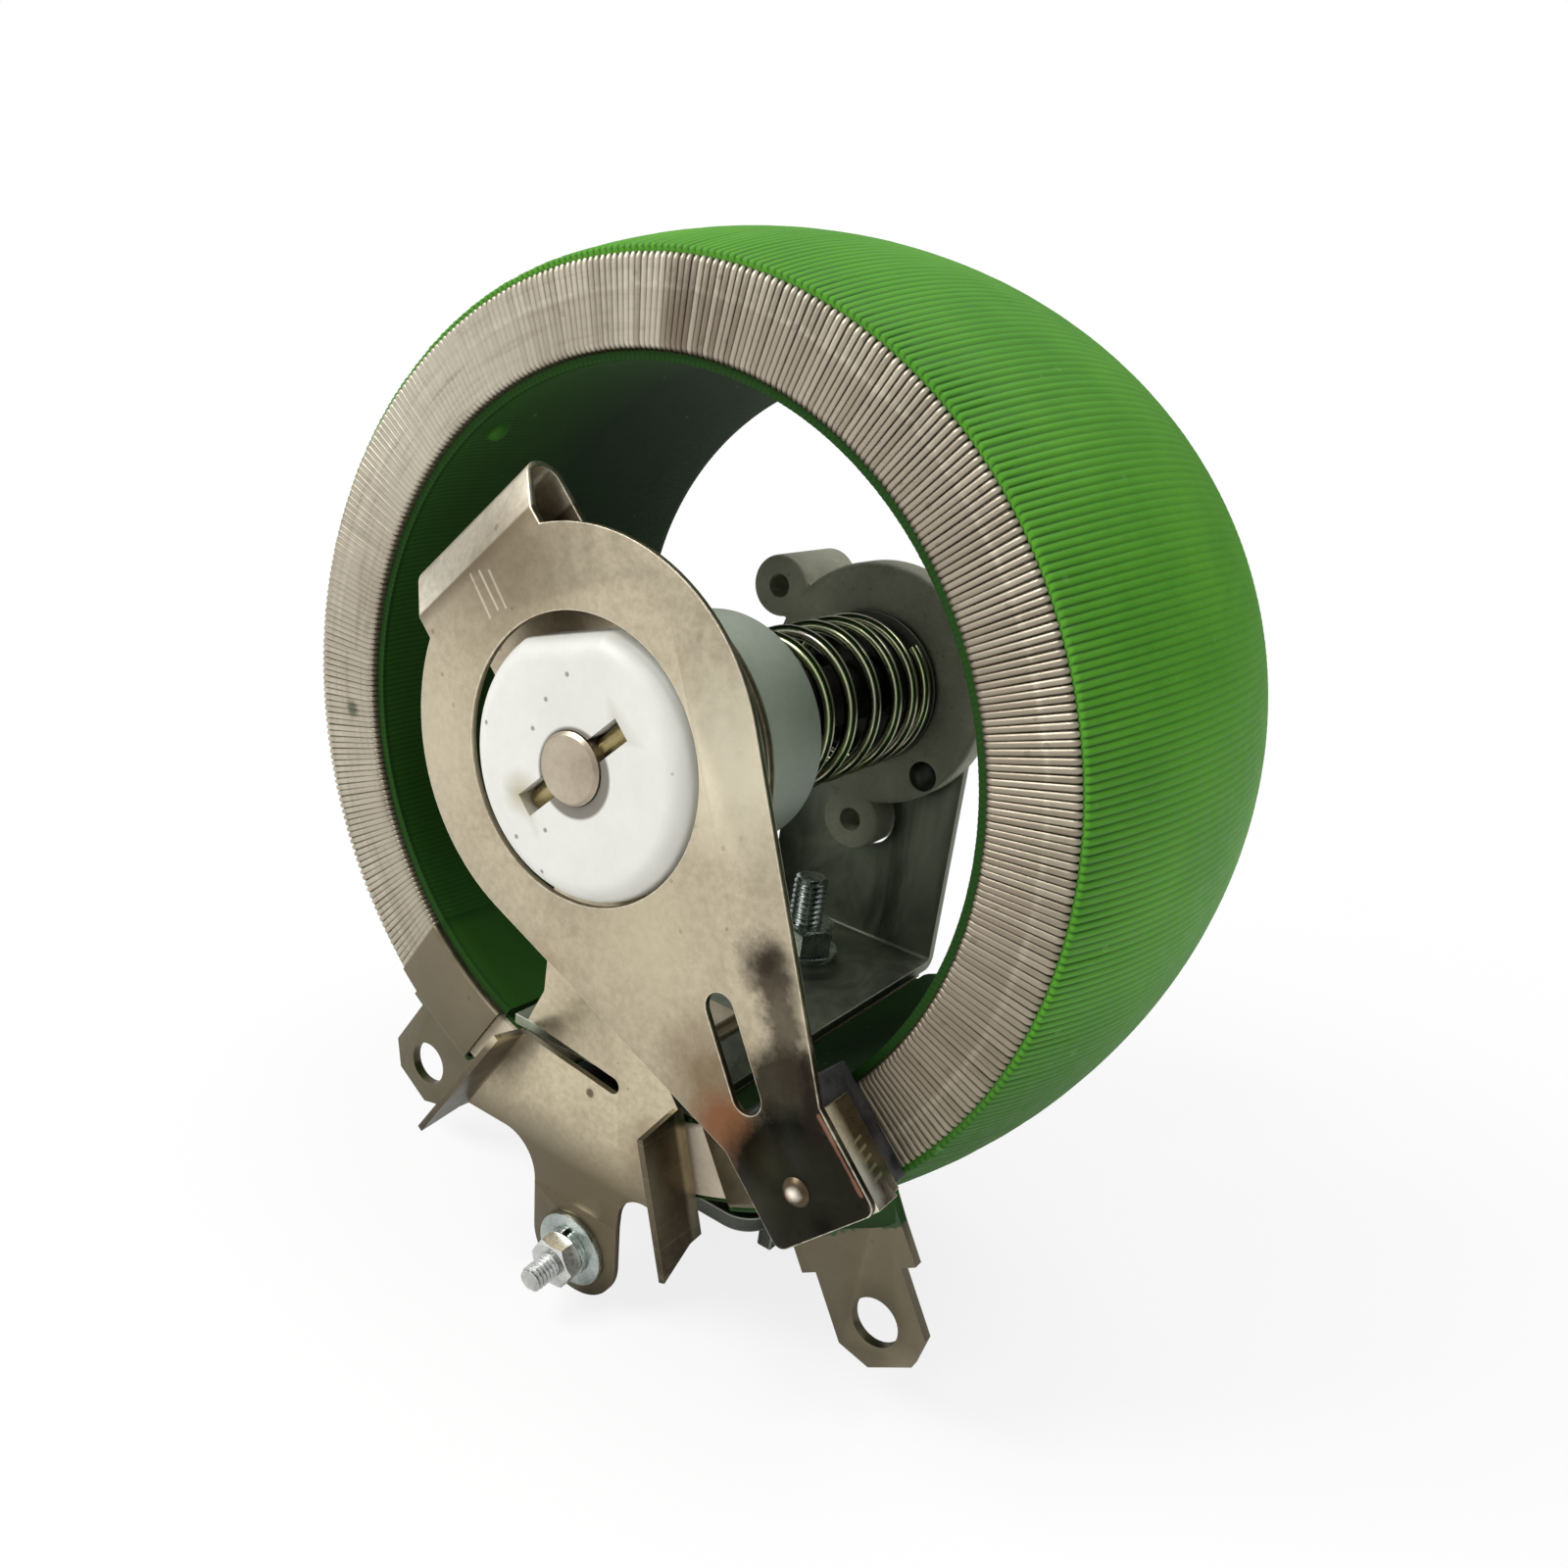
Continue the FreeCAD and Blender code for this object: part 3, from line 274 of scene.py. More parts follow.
class Finish(Graph):
    """A material with one Principled shader, its grain, and the shared groups within reach.

    Places, radii and distances given to its functions are in millimetres."""

    def __init__(self, name, grain_scale=None):
        self.material = bpy.data.materials.new(name)
        self.material.use_nodes = True
        super().__init__(self.material.node_tree)
        self.shader = next(n for n in self.tree.nodes if n.type == "BSDF_PRINCIPLED")
        self.place = self.add("ShaderNodeTexCoord").outputs["Object"]
        if grain_scale:
            grain = self.group(GRAIN, Scale=grain_scale)
            self.cloud, self.fine = grain["Cloud"], grain["Fine"]

    def group(self, tree, **values):
        node = self.add("ShaderNodeGroup", node_tree=tree)
        self.feed(node.inputs["Vector"], self.place)
        for key, value in values.items():
            self.feed(node.inputs[key], value)
        return node.outputs

    def set(self, name, value):
        self.feed(self.shader.inputs[name], value)

    def done(self, base, roughness, metallic=0.0, bump=None):
        """Sets what every finish has and gives the material. bump is height, strength and depth."""
        self.set("Base Color", base)
        self.set("Roughness", roughness)
        self.set("Metallic", metallic)
        if bump:
            height, strength, depth = bump
            node = self.add("ShaderNodeBump", {"Height": height, "Strength": strength,
                                               "Distance": depth * MM})
            self.set("Normal", node.outputs[0])
        return self.material

    def clouded(self, dark, light):
        return self.mix(self.cloud, srgb(*dark), srgb(*light))

    def fine_span(self, low, high):
        return self.span(self.fine, 0.0, 1.0, low, high)

    def tint(self, base, mask, share, colour):
        """The base with a colour over it where the mask is, at a share of full strength."""
        return self.mix(self.times(mask, share), base, srgb(*colour))

    def attribute(self, name):
        return self.add("ShaderNodeAttribute", attribute_name=name).outputs["Fac"]

    def across(self):
        """The place with its depth left out, in millimetres."""
        return self.vector("MULTIPLY", self.place, (1.0 / MM, 0.0, 1.0 / MM))

    def radius(self):
        """Distance from the shaft axis, in millimetres."""
        return self.vector("LENGTH", self.across())

    def turned(self):
        """Angle about the shaft axis, in radians."""
        at = self.add("ShaderNodeSeparateXYZ", {0: self.place}).outputs
        return self.math("ARCTAN2", at[2], at[0])

    def along_y(self):
        return self.math("DIVIDE", self.add("ShaderNodeSeparateXYZ", {0: self.place}).outputs[1], MM)

    def specks(self, scale, size, share):
        return self.group(SPECKS, Scale=scale, Size=size, Share=share)["Mask"]

    def patch(self, where, radius, core, ragged):
        return self.group(PATCH, Place=tuple(c * MM for c in where), Radius=radius * MM, Core=core * MM,
                          Ragged=ragged * MM)["Mask"]

    def stroke(self, start, end, width, ragged):
        return self.group(STROKE, Start=tuple(c * MM for c in start),
                          Run=tuple((b - a) * MM for a, b in zip(start, end)),
                          Width=width * MM, Ragged=ragged * MM)["Mask"]

    def slope(self, direction, low, high, start=0.0, end=1.0):
        """Change from start to end between two distances along a direction, in millimetres."""
        along = self.vector("DOT_PRODUCT", self.place, tuple(c / MM for c in direction))
        return self.span(along, low, high, start, end)

    def face_front(self, share):
        """Turns the shading to the front by a share, for round tops that are worn flat."""
        flat = self.add("ShaderNodeCombineXYZ", {0: share, 1: share, 2: share}).outputs[0]
        own = self.add("ShaderNodeNewGeometry").outputs["Normal"]
        kept = self.vector("MULTIPLY", own, self.vector("SUBTRACT", (1.0, 1.0, 1.0), flat))
        front = self.vector("MULTIPLY", flat, (0.0, -1.0, 0.0))
        self.set("Normal", self.vector("NORMALIZE", self.vector("ADD", kept, front)))


def green_enamel():
    """Gloss enamel, with painted shade between the turns, in the bore, below and towards the lower right,
    and painted light on the drip.
    """
    f = Finish("green_enamel", 55.0)
    y = f.along_y()
    # Painted shade between the ridges of the turns.
    base = f.tint(f.clouded((67, 133, 28), (85, 152, 37)), f.attribute("valley_shade"), 0.9, (22, 64, 10))
    # Painted shade in the bore, deeper further back, and a painted shadow just behind the bore's front
    # lip.
    inside = f.span(f.radius(), ring_bore_r + 2.8, ring_bore_r + 2.4)
    depth = f.math("MAXIMUM", f.span(y, track_y, track_y + 30.0, 0.68, 0.94),
                   f.span(y, track_y + 5.0, track_y + 2.0, 0.0, 0.86))
    bore = f.times(inside, depth)
    base = f.mix(bore, base, srgb(5, 36, 3))
    # Painted shade on the underside, near the front.
    below = f.times(f.slope(DOWN, 12.0, 60.0), f.span(y, track_y + 40.0, track_y + 4.0))
    base = f.tint(base, below, 0.72, (22, 62, 14))
    # Painted shade round the roots of the lugs.
    lug_root_shade = f.times(f.slope(DOWN, 50.0, 60.0), f.span(y, track_y + 30.0, track_y + 16.0))
    base = f.tint(base, lug_root_shade, 0.7, (12, 36, 9))
    # Painted shade towards the lower right.
    base = f.tint(base, f.slope(LOW_RIGHT, 44.0, 76.0), 0.84, (14, 44, 10))
    # Painted light on the drip, lifting it out of the painted shade of the bore.
    base = f.tint(base, f.patch(drip_at, 2.3, 1.6, 0.3), 0.6, (62, 122, 40))
    base = f.tint(base, f.specks(420.0, 0.28, 0.06), 0.3, (110, 150, 86))
    f.set("Specular IOR Level", 0.2)
    roughness = f.mix(bore, f.fine_span(0.48, 0.64), 0.8, kind="FLOAT")
    return f.done(base, roughness, bump=(f.fine, 0.25, 0.08))


def resistance_wire():
    """Wound wire, each turn of its own tone, polished where the brush runs."""
    f = Finish("resistance_wire", 90.0)
    tone = f.attribute("turn_tone")
    r = f.radius()
    base = f.mix(tone, srgb(146, 138, 122), srgb(204, 196, 178))
    base = f.mix(0.45, base, f.clouded((124, 113, 98), (180, 168, 148)))

    # The brush's path, with a bright line along its outer edge
    path = f.span(f.plus(r, f.times(f.minus(f.cloud, 0.5), 2.4)), 60.6, 59.8)
    base = f.tint(base, path, f.span(f.cloud, 0.2, 0.9, 0.2, 0.55), (138, 124, 110))
    line = f.times(f.span(r, 59.9, 60.3), f.span(r, 61.1, 60.6))
    broken = f.span(f.noise(f.place, 700.0, 2.0, 0.6), 0.35, 0.65, 0.0, 0.4)
    base = f.tint(base, line, broken, (228, 220, 202))
    base = f.tint(base, f.specks(520.0, 0.34, 0.12), 0.4, (88, 78, 64))

    # A scuff at the top, painted light from the upper left with painted shade towards the lower right, a
    # painted reflection at the upper left, and a brown patch
    scuff = f.patch((-6.2, track_y, 56.0), 10.0, 2.0, 9.0)
    base = f.tint(base, scuff, f.span(tone, 0.3, 0.9, 0.0, 0.4), (222, 214, 198))
    # Painted light from the upper left and painted shade towards the lower right.
    sunny = f.slope((-0.7, 0.0, 0.7), -50.0, 45.0)
    base = f.tint(base, f.minus(1.0, sunny), 0.55, (112, 102, 84))
    base = f.tint(base, sunny, 0.12, (236, 230, 212))
    # Painted reflection at the upper left.
    base = f.tint(base, f.patch((-40.4, track_y, 38.5), 22.0, 8.0, 12.0), 0.5, (226, 220, 202))
    brown = f.patch((2.4, track_y, 56.5), 10.0, 3.0, 8.0)
    base = f.tint(base, brown, f.span(tone, 0.2, 0.8, 0.7, 0.1), (96, 80, 64))

    # The left, rubbed flat, with smears along the path and one dark spot
    left = f.slope(LEFT, -6.0, 36.0)
    polar = f.add("ShaderNodeCombineXYZ", {0: f.times(r, 0.9), 1: f.times(f.turned(), 3.2)}).outputs[0]
    smear = f.span(f.noise(polar, 1.0, 4.0, 0.62), 0.5, 0.68)
    base = f.tint(base, left, 0.5, (176, 168, 150))
    base = f.tint(base, f.times(smear, left), 0.5, (128, 117, 102))
    base = f.tint(base, f.patch((-56.3, track_y, -9.6), 1.7, 0.7, 1.2), 0.75, (46, 62, 36))

    # Painted shade between the turns, lighter towards the left, and enamel that crept in at the outer edge
    deep = f.span(f.along_y(), track_y + 0.25, track_y + 0.8)
    crept = f.times(f.span(r, 63.3, 64.3), f.slope(RIGHT, -44.0, -20.0))
    gap_shade = f.mix(f.slope(LEFT, 10.0, 45.0), srgb(70, 61, 46), srgb(128, 119, 102))
    base = f.mix(deep, base, f.mix(crept, gap_shade, srgb(52, 92, 34)))
    right = f.slope((0.8, 0.0, -0.6), 22.0, 48.0, 0.0, 0.45)
    f.face_front(f.times(f.math("MAXIMUM", f.times(left, 0.8), right), f.minus(1.0, deep)))
    return f.done(base, f.fine_span(0.36, 0.5), 0.8)


def plain(name, grain_scale, dark, light, rough, metallic=0.0, bump=()):
    """A clouded finish with nothing on it. bump is strength and depth."""
    f = Finish(name, grain_scale)
    return f.done(f.clouded(dark, light), f.fine_span(*rough), metallic, bump and (f.fine, *bump))


def sheet_metal(name, dark, light, marks=(), strokes=(), rough=(0.3, 0.42), green_within=None,
                shade=None, hair=0.04):
    """Nickelled sheet with cloudy plating, specks, hair scratches and the marks given for it.

    A mark is its place, radius, core, raggedness, colour, strength and roughness. A stroke is its
    start, end, width, raggedness, colour and strength."""
    f = Finish(name, 38.0)
    base = f.clouded(dark, light)
    if shade:
        base = shade(f, base)
    speckle = f.span(f.noise(f.place, 900.0, 3.0, 0.65), 0.38, 0.66)
    base = f.tint(base, speckle, 0.24, (112, 98, 76))
    base = f.tint(base, f.specks(420.0, 0.24, 0.14), 0.45, (96, 82, 62))
    base = f.mix(f.group(SCRATCHES, Amount=hair)["Mask"], base, srgb(236, 228, 206))
    roughness = f.fine_span(*rough)
    for where, radius, core, ragged, colour, strength, gloss in marks:
        mask = f.times(f.patch(where, radius, core, ragged), strength)
        base = f.mix(mask, base, srgb(*colour))
        roughness = f.mix(mask, roughness, gloss, kind="FLOAT")
    for start, end, width, ragged, colour, strength in strokes:
        base = f.tint(base, f.stroke(start, end, width, ragged), strength, colour)
    edge = f.attribute("broken_edge")
    base = f.tint(base, edge, f.span(speckle, 0.0, 1.0, 0.75, 0.3), (226, 217, 194))
    metallic = 1.0
    if green_within:
        ragged = f.times(f.minus(f.noise(f.place, 420.0, 3.0), 0.5), 4.0)
        near = f.span(f.plus(f.radius(), ragged), green_within + 0.15, green_within - 0.15)
        paint = f.times(near, f.span(f.along_y(), track_y + 1.3, track_y + 1.8))
        base = f.mix(paint, base, srgb(26, 66, 20))
        roughness = f.mix(paint, roughness, 0.5, kind="FLOAT")
        metallic = f.minus(1.0, paint)
    return f.done(base, roughness, metallic, (f.fine, 0.12, 0.03))


def hardware(name, dark, light):
    """Plated screws, nuts and washers."""
    f = Finish(name, 180.0)
    wear = f.group(WEAR)
    base = f.tint(f.clouded(dark, light), wear["Corner"], 0.7, (60, 58, 50))
    base = f.tint(base, wear["Edge"], 0.4, (240, 240, 232))
    return f.done(base, f.fine_span(0.22, 0.36), 1.0, (f.fine, 0.1, 0.02))


def dulled_plate():
    """Old, dull zinc on the pieces below and behind the ring, darkened further as painted shade."""
    f = Finish("dulled_plate", 90.0)
    edge = f.attribute("broken_edge")
    base = f.tint(f.clouded((58, 60, 56), (92, 94, 88)), edge, 0.45, (168, 170, 160))
    return f.done(base, f.fine_span(0.4, 0.55), 1.0, (f.fine, 0.12, 0.02))


def cast_grey():
    """The bearing casting, with fine pits."""
    f = Finish("cast_grey", 120.0)
    edge = f.attribute("broken_edge")
    base = f.tint(f.clouded((152, 152, 134), (190, 190, 168)), edge, 0.5, (192, 190, 176))
    base = f.tint(base, f.specks(900.0, 0.3, 0.12), 0.35, (84, 82, 72))
    rough_skin = f.plus(f.fine, f.times(f.cloud, 0.6))
    return f.done(base, f.fine_span(0.55, 0.75), 0.15, (rough_skin, 0.5, 0.16))


def oiled_steel():
    """The bracket: dull plate with smears."""
    f = Finish("oiled_steel", 42.0)
    smear = f.noise(f.stretched(f.place, (90.0, 60.0, 24.0), (0.0, 0.35, 0.0)), 1.0, 4.0, 0.6, 1.2)
    base = f.mix(f.span(smear, 0.35, 0.65), srgb(90, 94, 82), srgb(156, 164, 142))
    base = f.tint(base, f.cloud, 0.4, (112, 112, 100))
    base = f.tint(base, f.attribute("broken_edge"), 0.5, (205, 205, 194))
    return f.done(base, f.span(smear, 0.3, 0.7, 0.38, 0.56), 0.8, (f.fine, 0.2, 0.04))


def white_steatite(name, dark, light, pin_share, pinholes=()):
    """Fired white ceramic of the hub, with a few dark pinholes, a stain and a painted shadow round the
    shaft, offset to the lower right.
    """
    f = Finish(name, 60.0)
    holes = f.specks(300.0, 0.13, pin_share)
    base = f.tint(f.clouded(dark, light), holes, 0.85, (60, 56, 48))
    base = f.tint(base, f.group(WEAR)["Corner"], 0.5, (150, 138, 104))
    base = f.tint(base, f.patch((-8.2, cap_y, -6.0), 3.8, 0.4, 2.0), 0.6, (150, 136, 92))
    # Painted shadow round the shaft, offset to the lower right.
    away = f.vector("LENGTH", f.vector("SUBTRACT", f.across(), (0.5, 0.0, -0.5)))
    base = f.tint(base, f.span(away, 6.3, 5.9), 0.85, (78, 68, 48))
    for x, z in pinholes:
        base = f.tint(base, f.patch((x, cap_y, z), 0.42, 0.22, 0.1), 0.75, (84, 78, 66))
    f.set("Coat Weight", 0.15)
    f.set("Coat Roughness", 0.3)
    return f.done(base, f.fine_span(0.38, 0.52), bump=(f.minus(f.fine, holes), 0.15, 0.08))


def temper_black():
    """Spring wire: black, with a painted highlight in yellow-green and pale violet where the wire faces
    the view.
    """
    f = Finish("temper_black", 140.0)
    shine = f.add("ShaderNodeLayerWeight", {"Blend": 0.35}).outputs["Facing"]
    base = f.mix(shine, f.clouded((196, 214, 150), (176, 160, 164)), srgb(36, 40, 28))
    return f.done(base, f.fine_span(0.16, 0.26), 1.0)


def pressed_carbon():
    f = Finish("pressed_carbon", 300.0)
    base = f.tint(f.clouded((30, 30, 30), (50, 49, 48)), f.group(WEAR)["Edge"], 0.6, (96, 96, 98))
    return f.done(base, f.fine_span(0.42, 0.6), 0.3, (f.fine, 0.4, 0.06))


def turned_metal(name, dark, light, rough=(0.24, 0.36), shade_span=None):
    """Turned shaft and bush: fine rings across the axis, and painted shade between two depths, where the
    shaft lies inside the spring.
    """
    f = Finish(name, 130.0)
    rings = f.noise(f.stretched(f.place, (60.0, 5200.0, 60.0)), 1.0, 2.0, 0.5)
    base = f.tint(f.clouded(dark, light), rings, 0.4, dark)
    roughness = f.fine_span(*rough)
    # Painted shade on the shaft inside the spring, between two depths.
    if shade_span:
        y = f.along_y()
        front, rear = shade_span
        coil_shade = f.times(f.span(y, front - 1.0, front), f.span(y, rear + 1.0, rear))
        base = f.tint(base, coil_shade, 0.96, (26, 24, 22))
        roughness = f.mix(coil_shade, roughness, 0.6, kind="FLOAT")
    return f.done(base, roughness, 1.0, (f.plus(rings, f.fine), 0.2, 0.03))


def arm_shade(f, base):
    """Painted highlight on the folded strip, and painted shadow in the crease beside it."""
    fold_highlight = f.slope(UP_LEFT, 31.0, 31.5)
    crease_shadow = f.times(f.slope(UP_LEFT, 29.2, 31.0), f.minus(1.0, fold_highlight))
    base = f.tint(base, crease_shadow, 0.65, (96, 82, 60))
    return f.tint(base, fold_highlight, 0.9, (240, 233, 214))


def plate_shade(f, base):
    """Painted shade on the tongue and the wings, darker than the plate."""
    # Painted shade on the tongue, then on the wings.
    base = f.tint(base, f.slope(DOWN, 58.0, 66.0), 0.9, (90, 81, 62))
    wing_shade = f.times(f.span(f.along_y(), track_y - 1.6, track_y - 2.4), f.slope(DOWN, 46.0, 48.0))
    return f.tint(base, wing_shade, 0.85, (56, 48, 35))


# The marks that sheet_metal takes, and where the pinholes are


def at_depth(y, marks):
    """Marks whose places have x and z only, put at a depth."""
    return [((x, y, z), *rest) for (x, z), *rest in marks]


def strokes_at_depth(y, strokes):
    return [((x, y, z), (end_x, y, end_z), *rest) for (x, z), (end_x, end_z), *rest in strokes]


cap_pinholes = [(-2.2, 12.1), (-5.4, 7.9), (-15.7, 1.8), (-7.2, 3.4), (-8.4, -12.3), (-3.4, -9.7),
                (-3.4, -15.7), (16.1, 4.2), (17.7, 0.6)]
arm_marks = at_depth(arm_y, [
    ((-17.0, 24.0), 19.0, 4.0, 8.0, (116, 102, 80), 0.62, 0.36),
    ((24.0, 8.0), 15.0, 3.0, 9.0, (230, 222, 196), 0.7, 0.26),
    ((-26.0, -4.0), 13.0, 2.0, 7.0, (190, 180, 156), 0.5, 0.3),
    ((15.0, -20.0), 14.0, 2.0, 9.0, (184, 174, 146), 0.5, 0.26),
    ((28.0, -34.0), 12.0, 3.0, 7.0, (104, 86, 62), 0.8, 0.3),
    ((31.0, -40.3), 7.5, 3.5, 3.5, (120, 80, 54), 0.92, 0.28),
    ((32.5, -15.5), 5.0, 0.5, 8.0, (36, 30, 26), 0.9, 0.35),
    ((38.0, -31.0), 7.5, 4.5, 5.0, (34, 33, 24), 0.92, 0.34),
    ((42.5, -43.5), 13.5, 9.5, 4.0, (15, 17, 9), 0.97, 0.4),
    ((37.0, -47.0), 4.0, 0.5, 5.0, (52, 52, 38), 0.6, 0.34),
    ((37.5, -41.5), 3.5, 0.5, 4.0, (50, 50, 36), 0.55, 0.34),
    ((46.5, -46.0), 3.0, 0.5, 4.0, (14, 12, 10), 0.7, 0.5),
    ((-2.0, -30.0), 4.0, 0.5, 3.0, (142, 112, 78), 0.4, 0.4),
])
arm_strokes = strokes_at_depth(arm_y, [
    ((-22.1, 20.5), (-17.9, 15.6), 0.28, 0.15, (222, 214, 194), 0.5),
    ((-20.5, 21.3), (-16.6, 17.0), 0.28, 0.15, (222, 214, 194), 0.55),
    ((-18.7, 21.7), (-15.2, 17.6), 0.28, 0.15, (222, 214, 194), 0.45),
    ((33.5, -16.0), (38.5, -28.0), 4.0, 5.0, (50, 43, 34), 0.8),
    ((40.2, -25.0), (43.0, -34.0), 2.2, 2.0, (34, 29, 24), 0.85),
    ((43.0, -31.7), (50.4, -39.1), 0.36, 0.5, (150, 104, 86), 0.6),
])
holder_marks = [((44.0, -88.0, -38.0), 12.0, 3.0, 8.0, (44, 37, 28), 0.6, 0.3)]
# Painted highlight along the tray's fold, and painted highlights on the ribs of its wall.
holder_highlights = [((43.2, -90.3, -31.2), (51.4, -90.3, -39.4), 2.3, 1.2, (252, 247, 228), 1.0)]
holder_highlights += [((46.9 + along, -88.9, -34.9 - along), (46.7 + along, -86.9, -34.7 - along), 0.3, 0.3,
                    (206, 196, 166), 0.8) for along in (0.0, 0.9, 1.8, 2.7, 3.6)]
# A painted glint on the rivet's head, and its copper rim.
rivet_marks = [
    ((41.6, -92.4, -43.1), 1.25, 0.2, 1.8, (246, 238, 222), 0.95, 0.2),
    ((40.7, -92.2, -44.3), 0.8, 0.1, 0.8, (196, 132, 92), 0.8, 0.25),
]
lug_marks = at_depth(lug_y, [
    ((45.5, -72.0), 6.0, 1.0, 4.0, (74, 67, 52), 0.6, 0.4),
    ((52.0, -79.0), 5.0, 1.0, 4.0, (150, 142, 122), 0.5, 0.36),
])
plate_marks = at_depth(plate_y, [
    ((-18.0, -52.0), 9.0, 2.0, 6.0, (62, 50, 38), 0.7, 0.4),
    ((0.6, -52.3), 0.9, 0.5, 0.3, (66, 50, 34), 0.8, 0.4),
    ((14.0, -57.0), 8.0, 3.0, 5.0, (110, 92, 68), 0.5, 0.35),
])

# One finish for each slot, and the finishes of pieces that look unlike the rest of their slot
paints = {
    "core_ceramic": plain("bare_ceramic", 160.0, (186, 172, 148), (214, 204, 182), (0.8, 0.95),
                          bump=(0.4, 0.15)),
    "resistance_wire": resistance_wire(),
    "green_enamel": green_enamel(),
    "nickel_sheet": sheet_metal("nickel_arm", (164, 153, 130), (192, 181, 157), arm_marks, arm_strokes,
                                shade=arm_shade),
    "nickel_hardware": hardware("nickel_hardware", (158, 160, 158), (216, 218, 216)),
    "zinc_hardware": hardware("zinc_hardware", (140, 150, 146), (196, 204, 200)),
    "mica": plain("flake_mica", 90.0, (150, 132, 96), (206, 194, 162), (0.25, 0.5), 0.15),
    "brown_fibre": plain("brown_fibre", 220.0, (92, 54, 32), (128, 80, 50), (0.6, 0.8),
                         bump=(0.3, 0.06)),
    "grey_steel": oiled_steel(),
    "grey_casting": cast_grey(),
    "brass": turned_metal("turned_brass", (112, 100, 62), (176, 162, 118)),
    "spring_steel": temper_black(),
    "shaft_steel": turned_metal("turned_shaft", (150, 138, 120), (198, 188, 168), (0.3, 0.44),
                                shade_span=(-62.0, -16.0)),
    "hub_ceramic": white_steatite("steatite_cap", (206, 206, 199), (218, 218, 211), 0.08, cap_pinholes),
    "carbon": pressed_carbon(),
}
plate_sheet = sheet_metal("nickel_plate", (172, 160, 134), (206, 195, 168), plate_marks,
                          shade=plate_shade)
lug_sheet = sheet_metal("nickel_lug", (100, 93, 76), (122, 114, 95), lug_marks, rough=(0.34, 0.5),
                        green_within=73.4, hair=0.01)
holder_sheet = sheet_metal("nickel_holder", (96, 84, 62), (190, 178, 150), holder_marks, holder_highlights,
                           (0.22, 0.36))
# Zinc darkened as painted shade, for the pieces below and behind the ring.
dull_shaded_zinc = dulled_plate()
rivet_metal = sheet_metal("sooted_rivet", (62, 52, 40), (96, 82, 64), rivet_marks, rough=(0.25, 0.4))
# The sleeve's ceramic as a darker, greener copy of the cap's: painted shade.
shaded_sleeve_paint = white_steatite("steatite_sleeve", (178, 194, 172), (208, 218, 200), 0.02)


# Meshes


def new_object(name, data):
    obj = bpy.data.objects.new(name, data)
    bpy.context.scene.collection.objects.link(obj)
    return obj


def mesh_from(name, points, faces=(), edges=()):
    """Mesh from points in millimetres."""
    mesh = bpy.data.meshes.new(name)
    mesh.from_pydata([tuple(c * MM for c in p) for p in points], edges, faces)
    mesh.update()
    return mesh


def line_from(name, points):
    """Mesh that is one open line through points."""
    return mesh_from(name, points, edges=[(i, i + 1) for i in range(len(points) - 1)])


def tube(count, rows, looped=False):
    """Faces between rows of points, closed by its end rows, or into a loop."""
    faces = []
    for j in range(rows if looped else rows - 1):
        near, far = j * count, (j + 1) % rows * count
        for i in range(count):
            k = (i + 1) % count
            faces.append((near + i, far + i, far + k, near + k))
    if not looped:
        faces.append(tuple(range(count)))
        faces.append(tuple((rows - 1) * count + i for i in reversed(range(count))))
    return faces


def edited(mesh, *steps):
    """Takes a mesh through steps that each change a bmesh."""
    bm = bmesh.new()
    bm.from_mesh(mesh)
    for step in steps:
        step(bm)
    bm.to_mesh(mesh)
    bm.free()
    return mesh


def faced_out(bm):
    bmesh.ops.recalc_face_normals(bm, faces=bm.faces)


def merged(distance):
    """Step that joins points closer than a distance."""
    return lambda bm: bmesh.ops.remove_doubles(bm, verts=bm.verts, dist=distance)


def flats_cleared(bm):
    """Leaves out edges between faces that lie in one plane."""
    bmesh.ops.dissolve_limit(bm, angle_limit=math.radians(0.5), verts=bm.verts, edges=bm.edges)


def smooth(mesh, angle):
    mesh.polygons.foreach_set("use_smooth", [True] * len(mesh.polygons))
    mesh.set_sharp_from_angle(angle=math.radians(angle))
    mesh.update()


def baked(obj):
    """Turns an object with modifiers into a plain mesh."""
    shot = obj.evaluated_get(bpy.context.evaluated_depsgraph_get())
    mesh = bpy.data.meshes.new_from_object(shot)
    mesh.name = obj.name
    obj.modifiers.clear()
    old, obj.data = obj.data, mesh
    bpy.data.meshes.remove(old)
    return obj


def settle(obj, node, paint=None):
    """Gives a finished piece its finish, picked by its node's slot when none is given, and its body, and
    hides the node that it stands for.
    """
    obj.data.materials.clear()
    obj.data.materials.append(paint or paints[SLOT_OF[node]])
    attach(obj, BODY_OF[node])
    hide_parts(node)


def extra_enamel(mesh, angle):
    """Enamel that no node stands for. It goes with the coat."""
    obj = new_object(mesh.name, mesh)
    smooth(mesh, angle)
    mesh.materials.append(paints["green_enamel"])
    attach(obj, BODY_OF["enamel_coat"])


def set_materials(mesh, indices):
    mesh.polygons.foreach_set("material_index", indices)


def break_edges(obj, width):
    """Bevels the sharp edges, and notes which faces they made, for the wear on them."""
    mesh = obj.data
    mesh.materials.clear()
    mesh.materials.append(None)
    mesh.materials.append(None)
    set_materials(mesh, [0] * len(mesh.polygons))
    cut = obj.modifiers.new("broken_edges", "BEVEL")
    cut.material = 1
    cut.width = width * MM
    cut.segments = 2
    cut.limit_method = "ANGLE"
    cut.angle_limit = math.radians(40.0)
    cut.use_clamp_overlap = True
    mesh = baked(obj).data
    layer = mesh.attributes.new("broken_edge", "FLOAT", "FACE")
    layer.data.foreach_set("value", [float(face.material_index == 1) for face in mesh.polygons])
    set_materials(mesh, [0] * len(mesh.polygons))


